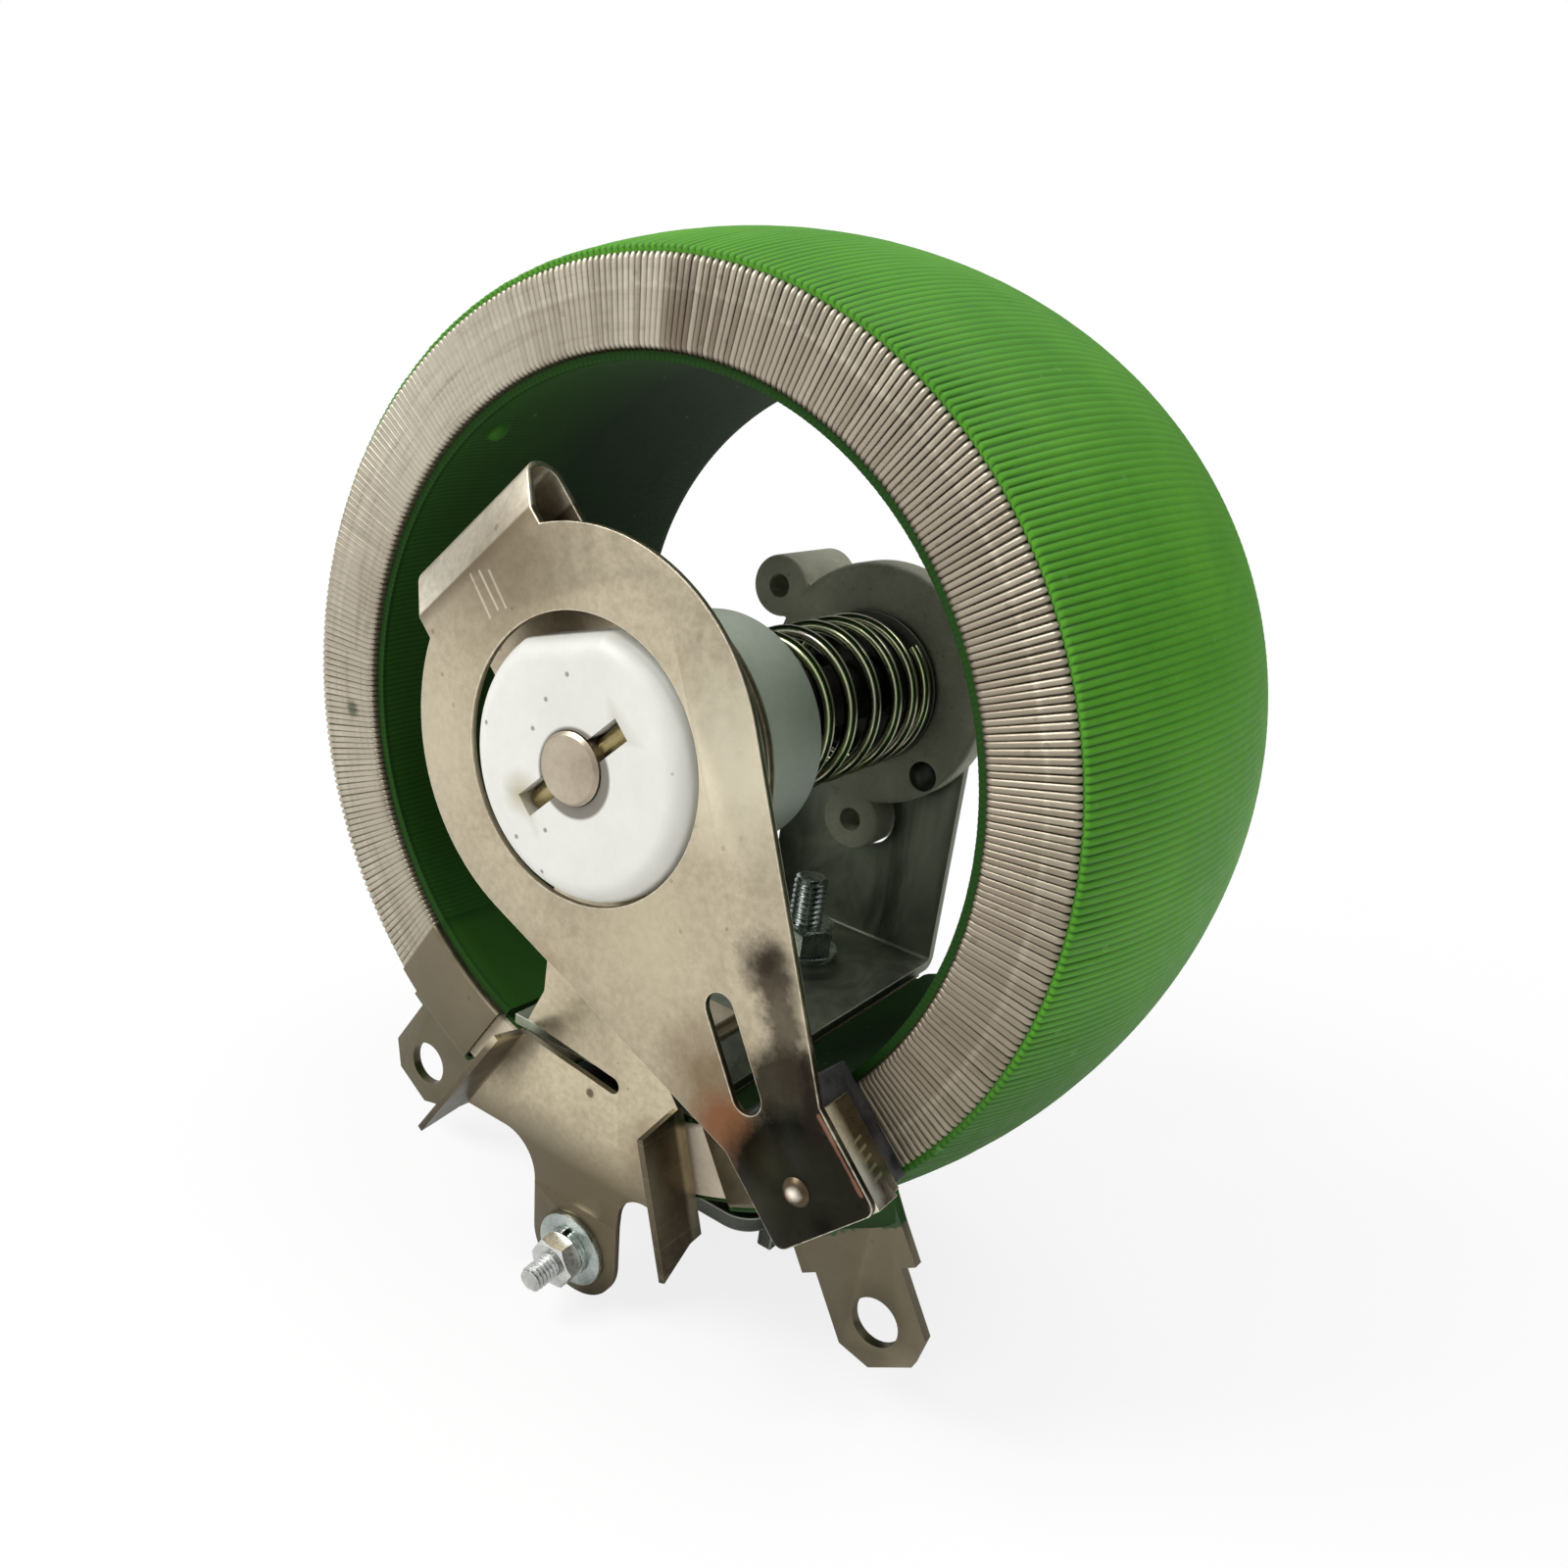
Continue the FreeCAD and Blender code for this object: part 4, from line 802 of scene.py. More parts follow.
def dressed(node, name, paint=None, bevel=0.0):
    """The node's own shape as a clean mesh with broken edges."""
    mesh = edited(frame["nodes"][node].data.copy(), merged(1e-6), flats_cleared)
    obj = new_object(name, mesh)
    if bevel:
        break_edges(obj, bevel)
    smooth(obj.data, 32.0)
    settle(obj, node, paint)


# The resistance winding and the enamel over it

half_depth = ring_depth / 2.0
dome_arc = (half_depth * half_depth + wall_bulge * wall_bulge) / (2.0 * wall_bulge)
dome_centre = ring_face_r + wall_bulge - dome_arc
end_lean = math.degrees(math.asin(band_half / mid_r))
first_edge = band_angle + end_lean
turn_step = (180.0 - 2.0 * first_edge) / turn_count
lean_share = 0.07
lean_turns = lean_share * turn_count


def dome_r(back, margin=0.0):
    """Radius of the ring's domed outer wall at a depth behind the track."""
    return dome_centre + math.sqrt((dome_arc - margin) ** 2 - (back - half_depth) ** 2)


def turn_angle(p, r):
    """Angle of turn p at a radius. Near an end band it leans from the radius, to lie along the band."""
    near_first = max(0.0, 1.0 - p / lean_turns)
    near_last = max(0.0, 1.0 - (turn_count - p) / lean_turns)
    return first_edge + turn_step * p + end_lean * (near_last - near_first) * (r - mid_r) / r


def turn_path():
    """Centre line of the bare part of a turn, as radius less mid_r and depth. It ends under the enamel."""
    corner, under_lip, ends = 0.9, 2.2, 5.0
    outer = dome_r(1.0) - enamel_thick - wire_r
    inner = ring_bore_r + enamel_thick + wire_r
    quarter = [math.radians(90.0 * k / 4.0) for k in range(5)]
    rounding = [(corner * math.cos(a), corner * math.sin(a)) for a in quarter]
    path = [(outer + 0.35, ends), (outer + 0.1, under_lip)]
    path += [(outer - corner + c, wire_r + corner - s) for c, s in rounding]
    path += [(mid_r, wire_r)]
    path += [(inner + corner - s, wire_r + corner - c) for c, s in rounding]
    path += [(inner, under_lip), (inner, ends)]
    return [(r - mid_r, back, 0.0) for r, back in path]


def geometry_tree(name, inputs):
    """Graph, input sockets and output of an empty Geometry Nodes tree with named inputs."""
    tree = bpy.data.node_groups.new(name, "GeometryNodeTree")
    for key, kind in inputs.items():
        tree.interface.new_socket(name=key, in_out="INPUT", socket_type="NodeSocket" + kind)
    tree.interface.new_socket(name="Geometry", in_out="OUTPUT", socket_type="NodeSocketGeometry")
    g = Graph(tree)
    return g, g.add("NodeGroupInput").outputs, g.add("NodeGroupOutput")


def finish_tree(g, out, geometry, material, softened=True):
    """Ends a tree with real geometry and its material, and gives the tree."""
    done = g.add("GeometryNodeRealizeInstances", {"Geometry": geometry}).outputs[0]
    if softened:
        done = g.add("GeometryNodeSetShadeSmooth", {"Geometry": done}).outputs[0]
    done = g.add("GeometryNodeSetMaterial", {"Geometry": done, "Material": material}).outputs[0]
    g.feed(out.inputs[0], done)
    return g.tree


def run_tree(obj, tree, values):
    """Runs a tree on an object and keeps the result as a plain mesh."""
    step = obj.modifiers.new(tree.name, "NODES")
    step.node_group = tree
    for item in tree.interface.items_tree:
        if item.in_out == "INPUT" and item.name in values:
            step[item.identifier] = values[item.name]
    return baked(obj)


def winding_tree():
    """Stands one turn at each step round the ring."""
    g, given, out = geometry_tree("wound_turns", {
        "Turn": "Geometry", "Turns": "Int", "First Angle": "Float", "Step": "Float", "End Lean": "Float",
        "Lean Share": "Float", "Middle Radius": "Float", "Track": "Float", "Wire Radius": "Float",
        "Wander": "Float", "Rise": "Float", "Seed": "Int", "Material": "Material"})

    def drawn(seed_shift, limits=()):
        """A random number from 0 to 1 for each turn, or between limits."""
        node = g.add("FunctionNodeRandomValue", data_type="FLOAT")
        for socket, limit in zip((2, 3), limits):
            g.feed(node.inputs[socket], limit)
        g.feed(node.inputs["Seed"], g.plus(given["Seed"], seed_shift))
        return node.outputs[1]

    def either_way(amount, seed_shift):
        return drawn(seed_shift, (g.times(amount, -1.0), amount))

    turn = g.wire(given["Turn"], given["Wire Radius"], 8, False)
    index = g.add("GeometryNodeInputIndex").outputs[0]
    share = g.math("DIVIDE", index, g.minus(given["Turns"], 1.0))
    early = g.minus(1.0, g.math("DIVIDE", share, given["Lean Share"]), clamp=True)
    late = g.minus(1.0, g.math("DIVIDE", g.minus(1.0, share), given["Lean Share"]), clamp=True)
    lean = g.times(given["End Lean"], g.minus(late, early))
    even = g.math("MULTIPLY_ADD", index, given["Step"], given["First Angle"])
    angle = g.plus(even, either_way(given["Wander"], 1.0))
    y = g.plus(given["Track"], g.math("ABSOLUTE", either_way(given["Rise"], 2.0)))
    spots = g.add("GeometryNodePoints", {
        "Count": given["Turns"], "Position": g.round_y(given["Middle Radius"], angle, y)}).outputs[0]
    turned = g.add("FunctionNodeAxisAngleToRotation", {
        "Axis": (0.0, 1.0, 0.0), "Angle": g.times(g.plus(angle, lean), -1.0)}).outputs[0]
    copies = g.add("GeometryNodeInstanceOnPoints", {
        "Points": spots, "Instance": turn, "Rotation": turned}).outputs[0]
    toned = g.add("GeometryNodeStoreNamedAttribute", {"Geometry": copies, "Name": "turn_tone"},
                  data_type="FLOAT", domain="INSTANCE")
    g.feed(toned.inputs["Value"], drawn(5.0))
    return finish_tree(g, out, toned.outputs[0], given["Material"])


def winding_turns():
    obj = new_object("winding_turns", line_from("winding_turns", turn_path()))
    run_tree(obj, winding_tree(), {
        "Turns": turn_count, "First Angle": math.radians(first_edge + turn_step / 2.0),
        "Step": math.radians(turn_step), "End Lean": math.radians(end_lean), "Lean Share": lean_share,
        "Middle Radius": mid_r * MM, "Track": track_y * MM, "Wire Radius": wire_r * MM,
        "Wander": math.radians(0.035), "Rise": 0.05 * MM, "Seed": 4,
        "Material": paints["resistance_wire"]})
    settle(obj, "resistance_winding")


def coat_profile(margin, ridged):
    """Outer side of the enamel's section, from the front lip round the rear to the bore's lip.

    A point is its radius, its depth, the direction that a ridge grows in, and how far it grows."""
    # Depths of the front lip and the bore's lip, and the width of both
    start, bore_start = (0.62, 1.5) if ridged else (1.25, 1.9)
    lip = 0.22
    rise = 1.0 if ridged else 0.0
    rear_round, quarter = 4.0 - margin, math.pi / 2.0
    arc, inner_r = dome_arc - margin, ring_bore_r + margin
    corner_back = ring_depth - margin - rear_round
    corner_r = dome_centre + math.sqrt((arc - rear_round) ** 2 - (corner_back - half_depth) ** 2)
    lean = math.asin((corner_back - half_depth) / (arc - rear_round))
    last_back = half_depth + arc * math.sin(lean)

    def ridge(back, top, reach, floor):
        return rise * (top * math.exp(-max(back - 1.0, 0.0) / reach) + floor)

    def rounded(middle_r, angles):
        return [(middle_r + rear_round * math.cos(a), corner_back + rear_round * math.sin(a),
                 math.cos(a), math.sin(a), 0.02 * rise) for a in angles]

    front_r = dome_r(start, margin)
    points = [(front_r - 0.8, start + 0.15, 0.0, -1.0, 0.0),
              (front_r - lip, start, 0.0, -1.0, 0.06 * rise),
              (front_r - 0.25 * lip, start + 0.3 * lip, 0.7, -0.7, ridge(1.0, 0.19, 30.0, 0.02))]
    wall_steps, bore_steps = 24, 12
    for k in range(wall_steps + 1):
        back = start + lip + (last_back - start - lip) * (k / wall_steps) ** 1.35
        a = math.asin((back - half_depth) / arc)
        points.append((dome_centre + arc * math.cos(a), back, math.cos(a), math.sin(a),
                       ridge(back, 0.19, 30.0, 0.015)))
    points += rounded(corner_r, [lean + (quarter - lean) * k / 4.0 for k in range(1, 5)])
    points += rounded(inner_r + rear_round, [quarter + quarter * k / 4.0 for k in range(5)])
    for k in range(1, bore_steps + 1):
        back = corner_back + (bore_start + lip - corner_back) * (k / bore_steps) ** 0.7
        swell = 0.7 * rise * math.exp(-(back - bore_start) / 2.6)
        points.append((inner_r - swell, back, -1.0, 0.0, ridge(back, 0.03, 9.0, 0.01)))
    points.append((points[-1][0] + 0.3 * lip, bore_start + 0.3 * lip, -0.7, -0.7, 0.05 * rise))
    points.append((inner_r + 0.6, bore_start, 0.0, -1.0, 0.0))
    return points


def coat_section(margin, ridged):
    """The enamel's closed section: the profile, then the hidden lining from the bore's lip back."""
    outer = margin + 0.45
    inner, rear = ring_bore_r + outer, ring_depth - outer
    backs = [2.5, 34.0, rear - 3.0]
    lining = [(inner, b) for b in backs] + [(inner + 2.5, rear), (dome_r(rear, outer) - 2.5, rear)]
    lining += [(dome_r(b, outer), b) for b in reversed(backs)]
    return coat_profile(margin, ridged) + [(r, back, 0.0, 0.0, 0.0) for r, back in lining]


def lip_retreat(a, back):
    """How far the enamel stays back at the left, where the bare turns reach round the edge."""
    at_left = min(max((-math.cos(a) - 0.25) / 0.5, 0.0), 1.0)
    return 1.1 * at_left * min(max(1.0 - (back - 0.6) / 3.4, 0.0), 1.0)


def swept(name, section, columns, height, bare_left=False):
    """Closed skin through a section at each column. A column is its angle at a radius, and its turn."""
    points, values = [], []
    for angle, turn in columns:
        for r, back, out_r, out_back, growth in section:
            h, valley_shade = height(turn, back)
            a = math.radians(angle(r))
            bare = lip_retreat(a, back) if bare_left and r > mid_r else 0.0
            at_r = r + out_r * growth * h + dome_r(back + bare) - dome_r(back)
            at_back = back + out_back * growth * h + bare
            points.append((at_r * math.cos(a), track_y + at_back, at_r * math.sin(a)))
            values.append(valley_shade if growth > 0.0 else 0.0)
    mesh = mesh_from(name, points, tube(len(section), len(columns)))
    # How deep each point lies between two turns, for the painted shade there.
    mesh.attributes.new("valley_shade", "FLOAT", "POINT").data.foreach_set("value", values)
    return edited(mesh, faced_out)


def beside_band(offset):
    """Angle, at a radius, of the line that runs along the right band at an offset from its middle."""
    return lambda r: band_angle + math.degrees(math.asin(offset / r))


def blend_angles(a, b, t):
    """Angle that lies a share t of the way from one line to another, at a radius."""
    return lambda r: a(r) + (b(r) - a(r)) * t


def mirror_angle(a):
    return lambda r: 180.0 - a(r)


def along_turn(p):
    return lambda r: turn_angle(p, r)


def enamel_coat():
    """Enamel over the turns and bands, with every turn showing through as a ridge."""
    step_edge, band_edge = beside_band(-(band_half + 0.55)), along_turn(0.0)
    band_steps, samples = 8, 4
    columns = [(blend_angles(step_edge, band_edge, k / band_steps), None) for k in range(band_steps)]
    columns += [(along_turn(k / samples), k / samples) for k in range(turn_count * samples + 1)]
    columns += [(mirror_angle(blend_angles(band_edge, step_edge, k / band_steps)), None)
                for k in range(1, band_steps + 1)]
    rng = random.Random(11)
    lift = [rng.uniform(0.75, 1.1) for _ in range(turn_count + 2)]
    creep = [rng.uniform(-0.12, 0.12) for _ in range(turn_count + 2)]

    def height(p, back):
        if p is None:
            return 0.6, 0.0
        crest = math.sqrt(max(0.0, 1.0 - (2.0 * (p - math.floor(p)) - 1.0) ** 2))
        fade = math.exp(-max(back - 1.0, 0.0) / 26.0)
        # The second value is how deep the point lies between turns, for the painted shade there.
        return crest * lift[int(p)] + creep[int(p)], (1.0 - crest) * fade

    mesh = swept("enamel_skin", coat_section(0.0, True), columns, height, bare_left=True)
    obj = new_object("enamel_skin", mesh)
    smooth(mesh, 60.0)
    settle(obj, "enamel_coat")


def enamel_end(side):
    """Thinner enamel on the bare end of the core, between the band and the gap."""
    near, far, steps = beside_band(-(band_half + 0.5)), (lambda r: gap_angle), 8
    angles = [blend_angles(far, near, k / steps) for k in range(steps + 1)]
    if side < 0:
        angles = [mirror_angle(a) for a in angles]
    name = "enamel_end_right" if side > 0 else "enamel_end_left"
    columns = [(a, None) for a in angles]
    extra_enamel(swept(name, coat_section(0.9, False), columns, lambda turn, back: (0.0, 0.0)), 50.0)


def enamel_drip():
    """Small drip that set on the wall of the bore."""
    x, y, z = drip_at
    reach = math.hypot(x, z)
    ax, az = x / reach, z / reach

    def shape(bm):
        bmesh.ops.create_icosphere(bm, subdivisions=3, radius=1.0)
        for vert in bm.verts:
            out, along, across = 1.1 * vert.co.x, 1.45 * vert.co.y, 1.8 * vert.co.z
            r = ring_bore_r + out
            vert.co = ((r * ax - across * az) * MM, (y + along) * MM, (r * az + across * ax) * MM)

    extra_enamel(edited(bpy.data.meshes.new("enamel_drip"), shape, faced_out), 60.0)


def lug_skirt(side):
    """Enamel that ran down over the root of a lug."""
    rng = random.Random(21 if side > 0 else 22)
    half_w, half_t, lug_mid = 10.35, 1.15, lug_y + 0.5
    top_r, hem_r, hem_wander = 63.5, 72.8, 0.9
    count, rows = 40, 6
    loop = []
    for k in range(count):
        c, s = math.cos(2.0 * math.pi * k / count), math.sin(2.0 * math.pi * k / count)
        across, over = math.copysign(abs(c) ** 0.35, c), math.copysign(abs(s) ** 0.5, s)
        loop.append((half_w * across, half_t * over))
    hem = [hem_r + rng.uniform(-hem_wander, hem_wander) for _ in loop]
    hem = [(hem[k - 1] + 2.0 * hem[k] + hem[(k + 1) % count]) / 4.0 for k in range(count)]
    ax, az = math.cos(math.radians(band_angle)), math.sin(math.radians(band_angle))
    points = []
    for t in (j / (rows - 1) for j in range(rows)):
        wide, thick = 1.0 + 0.02 * (1.0 - t), (1.0 + 0.9 * (1.0 - t) ** 3) * (1.0 - 0.18 * t ** 6)
        for (v, y), low_r in zip(loop, hem):
            u = top_r + (low_r - top_r) * t
            points.append((side * (u * ax - v * wide * az), lug_mid + y * thick, u * az + v * wide * ax))
    name = "lug_skirt_right" if side > 0 else "lug_skirt_left"
    extra_enamel(edited(mesh_from(name, points, tube(count, rows)), faced_out), 55.0)


# Spring and screws


def spring_tree():
    """A coil whose end turns lie close together."""
    g, given, out = geometry_tree("close_ended_coil", {
        "Line": "Geometry", "Turns": "Float", "Length": "Float", "Start": "Float", "Coil Radius": "Float",
        "Wire Radius": "Float", "End Closing": "Float", "Turned By": "Float", "Material": "Material"})
    index = g.add("GeometryNodeInputIndex").outputs[0]
    size = g.add("GeometryNodeAttributeDomainSize", {"Geometry": given["Line"]})
    t = g.math("DIVIDE", index, g.minus(size.outputs["Point Count"], 1.0))
    full = g.times(t, 2.0 * math.pi)
    angle = g.math("MULTIPLY_ADD", full, given["Turns"], given["Turned By"])
    closing = g.times(g.math("DIVIDE", g.math("SINE", full), 2.0 * math.pi), given["End Closing"])
    y = g.math("MULTIPLY_ADD", g.minus(t, closing), given["Length"], given["Start"])
    coil = g.add("GeometryNodeSetPosition", {
        "Geometry": given["Line"], "Position": g.round_y(given["Coil Radius"], angle, y)}).outputs[0]
    return finish_tree(g, out, g.wire(coil, given["Wire Radius"], 14, True), given["Material"])


def pressure_spring():
    low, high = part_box("return_spring")
    end, turns, steps_per_turn = 0.9 * MM, 7, 72
    line = line_from("pressure_spring", [(i, 0.0, 0.0) for i in range(turns * steps_per_turn + 1)])
    obj = new_object("pressure_spring", line)
    run_tree(obj, spring_tree(), {
        "Turns": float(turns), "Length": high[1] - low[1] - 2.0 * end, "Start": low[1] + end,
        "Coil Radius": 12.1 * MM, "Wire Radius": 1.05 * MM, "End Closing": 0.3,
        "Turned By": math.radians(48.0), "Material": paints["spring_steel"]})
    settle(obj, "return_spring")


def upright(rows, looped=False):
    """Points and faces of a shape round Z, from rows of radii and heights at even angles."""
    sides = len(rows[0])
    angles = [2.0 * math.pi * k / sides for k in range(sides)]
    points = [(r * math.cos(a), r * math.sin(a), z) for row in rows for a, (r, z) in zip(angles, row)]
    return points, tube(sides, len(rows), looped)


def threaded_rod(radius, pitch, low, high, sides=28):
    """An upright rod with a V thread, closed at both ends."""
    depth, per_turn = 0.54 * pitch, 8
    steps = int((high - low) / pitch * per_turn) + 1
    rows = []
    for j in range(steps + 1):
        z = low + (high - low) * j / steps
        taper = min(1.0, (high - z) / (0.8 * pitch) + 0.15)
        grooves = [1.0 - abs(2.0 * ((z / pitch - k / sides) % 1.0) - 1.0) for k in range(sides)]
        rows.append([(radius - depth * groove * min(1.0, (z - low) / pitch) - (1.0 - taper) * depth, z)
                     for groove in grooves])
    return upright(rows)


def hex_body(flats, hole_r, low, high, top_cut=True):
    """An upright hexagon nut or head with turned-off corners. hole_r 0 closes it."""
    sides, face_r = 48, flats / 2.0
    corners = [face_r / math.cos((2.0 * math.pi * k / sides) % (math.pi / 3.0) - math.pi / 6.0)
               for k in range(sides)]
    ends = []
    for z, inward, cut in ((high, -1.0, top_cut), (low, 1.0, True)):
        flat_r = face_r * 0.94 if cut else face_r
        fall = inward * math.tan(math.radians(30.0)) if cut else 0.0
        ends.append([[(max(hole_r, 0.02), z)] * sides, [(min(flat_r, r), z) for r in corners],
                     [(r, z + fall * max(r - flat_r, 0.0)) for r in corners]])
    return upright(ends[0] + ends[1][::-1], looped=bool(hole_r))


def lathe(profile, sides):
    """A shape turned about Z from radius and height pairs, closed at its ends."""
    return upright([[(max(r, 0.001), z)] * sides for r, z in profile])


def screw_piece(name, parts, place=Matrix()):
    """One object from several sets of points and faces, moved by a matrix."""
    points, faces = [], []
    for part_points, part_faces in parts:
        start = len(points)
        points += part_points
        faces += [tuple(start + i for i in f) for f in part_faces]
    mesh = edited(mesh_from(name, points, faces), merged(1e-7), faced_out,
                  lambda bm: bmesh.ops.transform(bm, matrix=place, verts=bm.verts))
    smooth(mesh, 28.0)
    return new_object(name, mesh)


def row_tree():
    """Copies one piece along a step."""
    g, given, out = geometry_tree("row_of_copies", {
        "Piece": "Geometry", "Count": "Int", "Start": "Vector", "Step": "Vector",
        "Material": "Material"})
    index = g.add("GeometryNodeInputIndex").outputs[0]
    moved = g.add("ShaderNodeVectorMath", {0: given["Step"], "Scale": index}, operation="SCALE")
    spot = g.vector("ADD", given["Start"], moved.outputs[0])
    spots = g.add("GeometryNodePoints", {"Count": given["Count"], "Position": spot}).outputs[0]
    copies = g.add("GeometryNodeInstanceOnPoints", {"Points": spots, "Instance": given["Piece"]})
    return finish_tree(g, out, copies.outputs[0], given["Material"], softened=False)


def clamp_hardware():
    """Two M6 clamp bolts with their nuts, repeated along the foot."""
    low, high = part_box("clamp_bolts")
    nut_low, nut_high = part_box("clamp_nuts")
    flats, head_high, nut_thick = 10.0, 4.0, 5.0
    corner_half = flats / math.sqrt(3.0) * MM
    front_y, rear_y = low[1] + corner_half, high[1] - corner_half
    bottom, top = low[2] / MM, high[2] / MM
    front_seat, rear_seat = nut_high[2] / MM - nut_thick, nut_low[2] / MM
    bolt = [hex_body(flats, 0.0, bottom, bottom + head_high, top_cut=False),
            threaded_rod(3.0, 1.0, bottom + head_high - 0.1, top)]
    nut = [hex_body(flats, 2.9, front_seat, front_seat + nut_thick)]
    nut_rise = (rear_seat - front_seat) * MM
    tree = row_tree()
    for node, name, parts, rise in (("clamp_bolts", "clamp_bolt_pair", bolt, 0.0),
                                    ("clamp_nuts", "clamp_nut_pair", nut, nut_rise)):
        obj = run_tree(screw_piece(name, parts), tree, {
            "Count": 2, "Start": (0.0, front_y, 0.0), "Step": (0.0, rear_y - front_y, rise),
            "Material": paints["zinc_hardware"]})
        settle(obj, node)


def terminal_matrix():
    """Places an upright piece so that its +Z runs forward along the terminal screw."""
    tongue_tilt, terminal_z = math.radians(6.0), -79.8
    lie_down = Matrix.Rotation(math.radians(90.0), 4, "X")
    shift = Matrix.Translation(Vector((0.0, 0.0, terminal_z)) * MM)
    bend = Matrix.Translation(Vector((0.0, track_y - 0.5, -72.0)) * MM)
    return bend @ Matrix.Rotation(tongue_tilt, 4, "X") @ bend.inverted() @ shift @ lie_down


def terminal_hardware():
    """M4 screw and nut on the tongue, built upright and then laid forward."""
    front, nut_seat, nut_thick = -track_y, 3.0, 3.2
    shank = threaded_rod(2.0, 0.7, front - 2.3, front + 10.5)
    head = lathe([(0.0, front - 2.4), (2.4, front - 2.35), (3.2, front - 1.9), (3.5, front - 1.2),
                  (3.5, front)], 48)
    nut = hex_body(7.0, 1.9, front + nut_seat, front + nut_seat + nut_thick)
    place = terminal_matrix()
    settle(screw_piece("terminal_screw_threaded", [shank, head], place), "terminal_screw")
    settle(screw_piece("terminal_nut_hex", [nut], place), "terminal_nut")


winding_turns()
enamel_coat()
for side in (1, -1):
    enamel_end(side)
    lug_skirt(side)
enamel_drip()
pressure_spring()
clamp_hardware()
terminal_hardware()

# Node, name of the piece, its own finish if it has one, and the width of its broken edges
for row in (
        ("ceramic_core", "core_ring"),
        ("right_end_band", "band_right", lug_sheet, 0.25),
        ("left_end_band", "band_left", lug_sheet, 0.25),
        ("collector_plate", "stop_plate", plate_sheet, 0.28),
        ("collector_carrier", "carrier_strap", plate_sheet, 0.18),
        ("carrier_mica", "carrier_mica_leaf"),
        ("fibre_washer", "shoulder_washer", None, 0.15),
        ("terminal_washer", "terminal_flat_washer", paints["zinc_hardware"], 0.15),
        ("terminal_lock_washer", "terminal_split_washer", None, 0.12),
        ("foot_mica", "foot_mica_leaf"),
        ("clamp_saddle", "clamp_channel", dull_shaded_zinc, 0.3),
        ("clamp_washers", "clamp_washer_pair", None, 0.15),
        ("mounting_bracket", "bracket_leg_and_foot", None, 0.25),
        ("bearing_flange", "bearing_casting", None, 0.25),
        ("bearing_rivets", "casting_rivets", dull_shaded_zinc),
        ("shaft_bush", "bearing_bush", None, 0.12),
        ("spring_seat_washer", "seat_washer", dull_shaded_zinc, 0.12),
        ("rear_washer", "knob_side_washer", None, 0.12),
        ("retaining_clip", "shaft_clip", None, 0.12),
        ("control_shaft", "turned_shaft"),
        ("cross_pin", "drive_pin", None, 0.2),
        ("hub_cap", "ceramic_hub_cap"),
        ("hub_sleeve", "ceramic_hub_sleeve", shaded_sleeve_paint),
        ("wiper_arm", "folded_arm", None, 0.16),
        ("brush_holder", "brush_tray", holder_sheet, 0.12),
        ("carbon_brush", "brush_block", None, 0.2),
        ("brush_rivet", "tray_rivet", rivet_metal)):
    dressed(*row)


# Studio


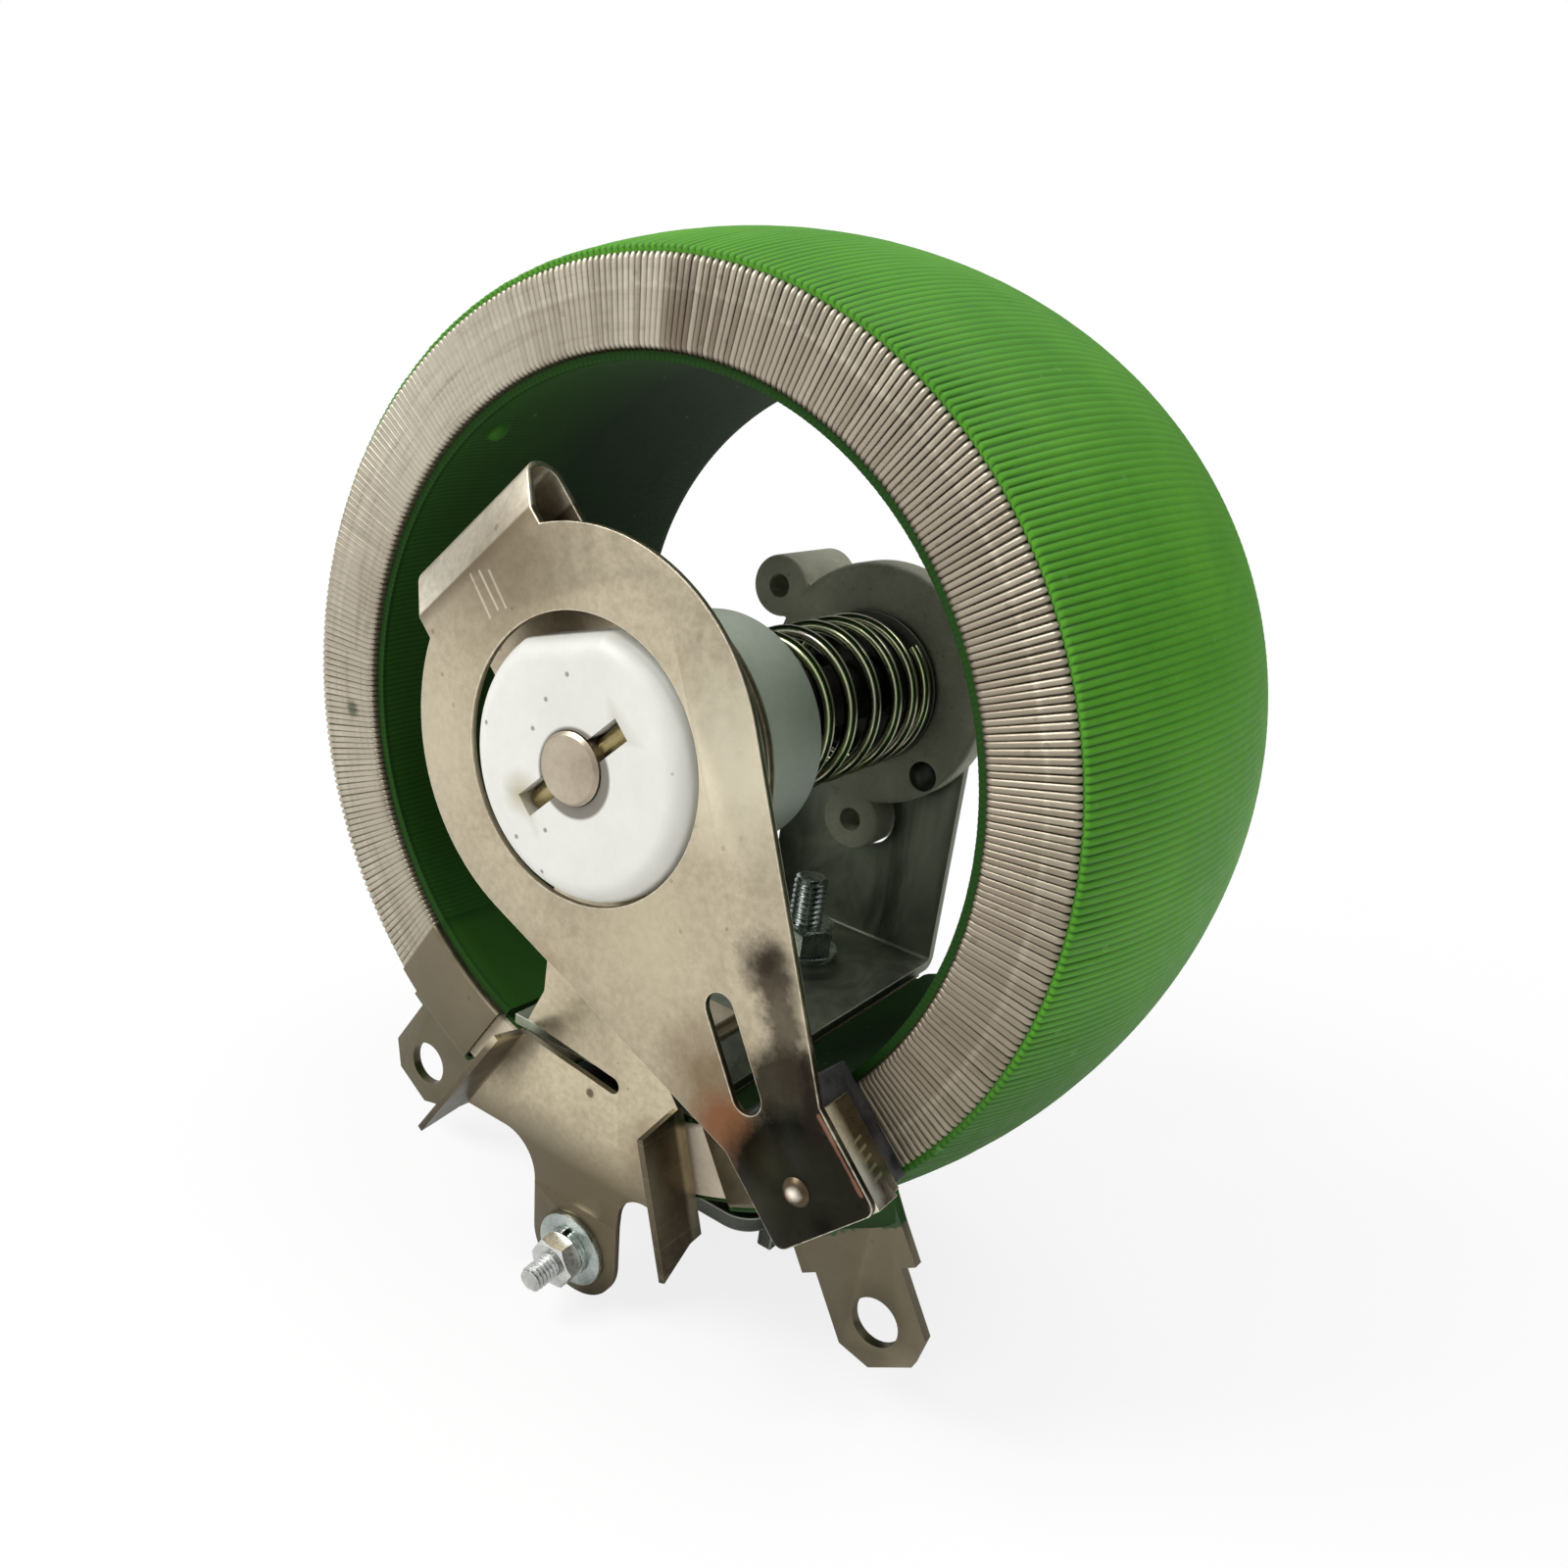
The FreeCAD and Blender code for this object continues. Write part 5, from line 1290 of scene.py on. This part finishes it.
def pale_floor():
    """Floor under the part, seen by the camera as nearly white and wholly white further off."""
    lowest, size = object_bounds()[0][2], 3.0
    corners = [(-size, -size), (size, -size), (size, size), (-size, size)]
    mesh = mesh_from("floor", [(x / MM, y / MM, lowest / MM) for x, y in corners], [(0, 1, 2, 3)])
    f = Finish("pale_floor")
    f.done((0.9, 0.9, 0.9, 1.0), 0.9)
    seen = f.add("ShaderNodeLightPath").outputs["Is Camera Ray"]
    far = f.span(f.vector("LENGTH", f.place), 0.12, 0.32, 0.82, 1.0)
    glow = f.add("ShaderNodeEmission", {"Color": WHITE, "Strength": 1.0})
    both = f.add("ShaderNodeMixShader", {0: f.times(seen, far), 1: f.shader.outputs[0],
                                         2: glow.outputs[0]})
    out = next(n for n in f.tree.nodes if n.type == "OUTPUT_MATERIAL")
    f.feed(out.inputs["Surface"], both.outputs[0])
    mesh.materials.append(f.material)
    new_object("floor", mesh)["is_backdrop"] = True


def studio_world():
    """White to the camera; as a light, brighter from the upper left, and more so in reflections."""
    world = bpy.data.worlds.new("studio")
    bpy.context.scene.world = world
    world.use_nodes = True
    g = Graph(world.node_tree)
    path = g.add("ShaderNodeLightPath").outputs
    seen = g.math("MAXIMUM", path["Is Camera Ray"], path["Is Transmission Ray"])
    toward = g.add("ShaderNodeTexCoord").outputs["Generated"]
    aim = g.vector("DOT_PRODUCT", toward, (-0.47, -0.54, 0.70))
    soft, mirrored = (g.span(aim, -0.7, 1.0, 0.06, brightest) for brightest in (0.58, 1.0))
    light = g.mix(path["Is Glossy Ray"], soft, mirrored, kind="FLOAT")
    back = world.node_tree.nodes["Background"]
    g.feed(back.inputs["Color"], WHITE)
    g.feed(back.inputs["Strength"], g.mix(seen, light, 1.0, kind="FLOAT"))


def lamp(name, place, size, power):
    """Area lamp at a place in metres, aimed at the middle of the part."""
    middle = Vector((0.0, -0.05, 0.0))
    data = bpy.data.lights.new(name, "AREA")
    data.shape = "RECTANGLE"
    data.size, data.size_y = size
    data.energy = power
    obj = new_object(name, data)
    obj.location = place
    obj.rotation_euler = (middle - Vector(place)).to_track_quat("-Z", "Y").to_euler()


def camera():
    """The photograph's view: lens, place and turn found from the ring's ellipses."""
    data = bpy.data.cameras.new("view")
    data.sensor_width = 36.0
    data.lens = 32.217
    data.shift_x = 0.01569
    data.shift_y = -0.02743
    data.clip_start = 0.01
    obj = new_object("view", data)
    right = Vector((0.80797, 0.57405, 0.13288))
    up = Vector((-0.27930, 0.17455, 0.94421))
    ahead = Vector((-0.51883, 0.80000, -0.30136))
    turn = Matrix((right, up, -ahead)).transposed().to_4x4()
    obj.matrix_world = Matrix.Translation(Vector((112.32, -222.96, 61.03)) * MM) @ turn
    bpy.context.scene.camera = obj


pale_floor()
studio_world()
lamp("key", (-0.50, -0.62, 0.72), (0.5, 0.5), 8.6)
lamp("fill", (0.85, -0.45, 0.30), (0.5, 0.8), 1.3)
lamp("top", (0.25, 0.15, 0.9), (0.6, 0.6), 3.6)
camera()
bpy.context.scene.view_settings.view_transform = "Standard"
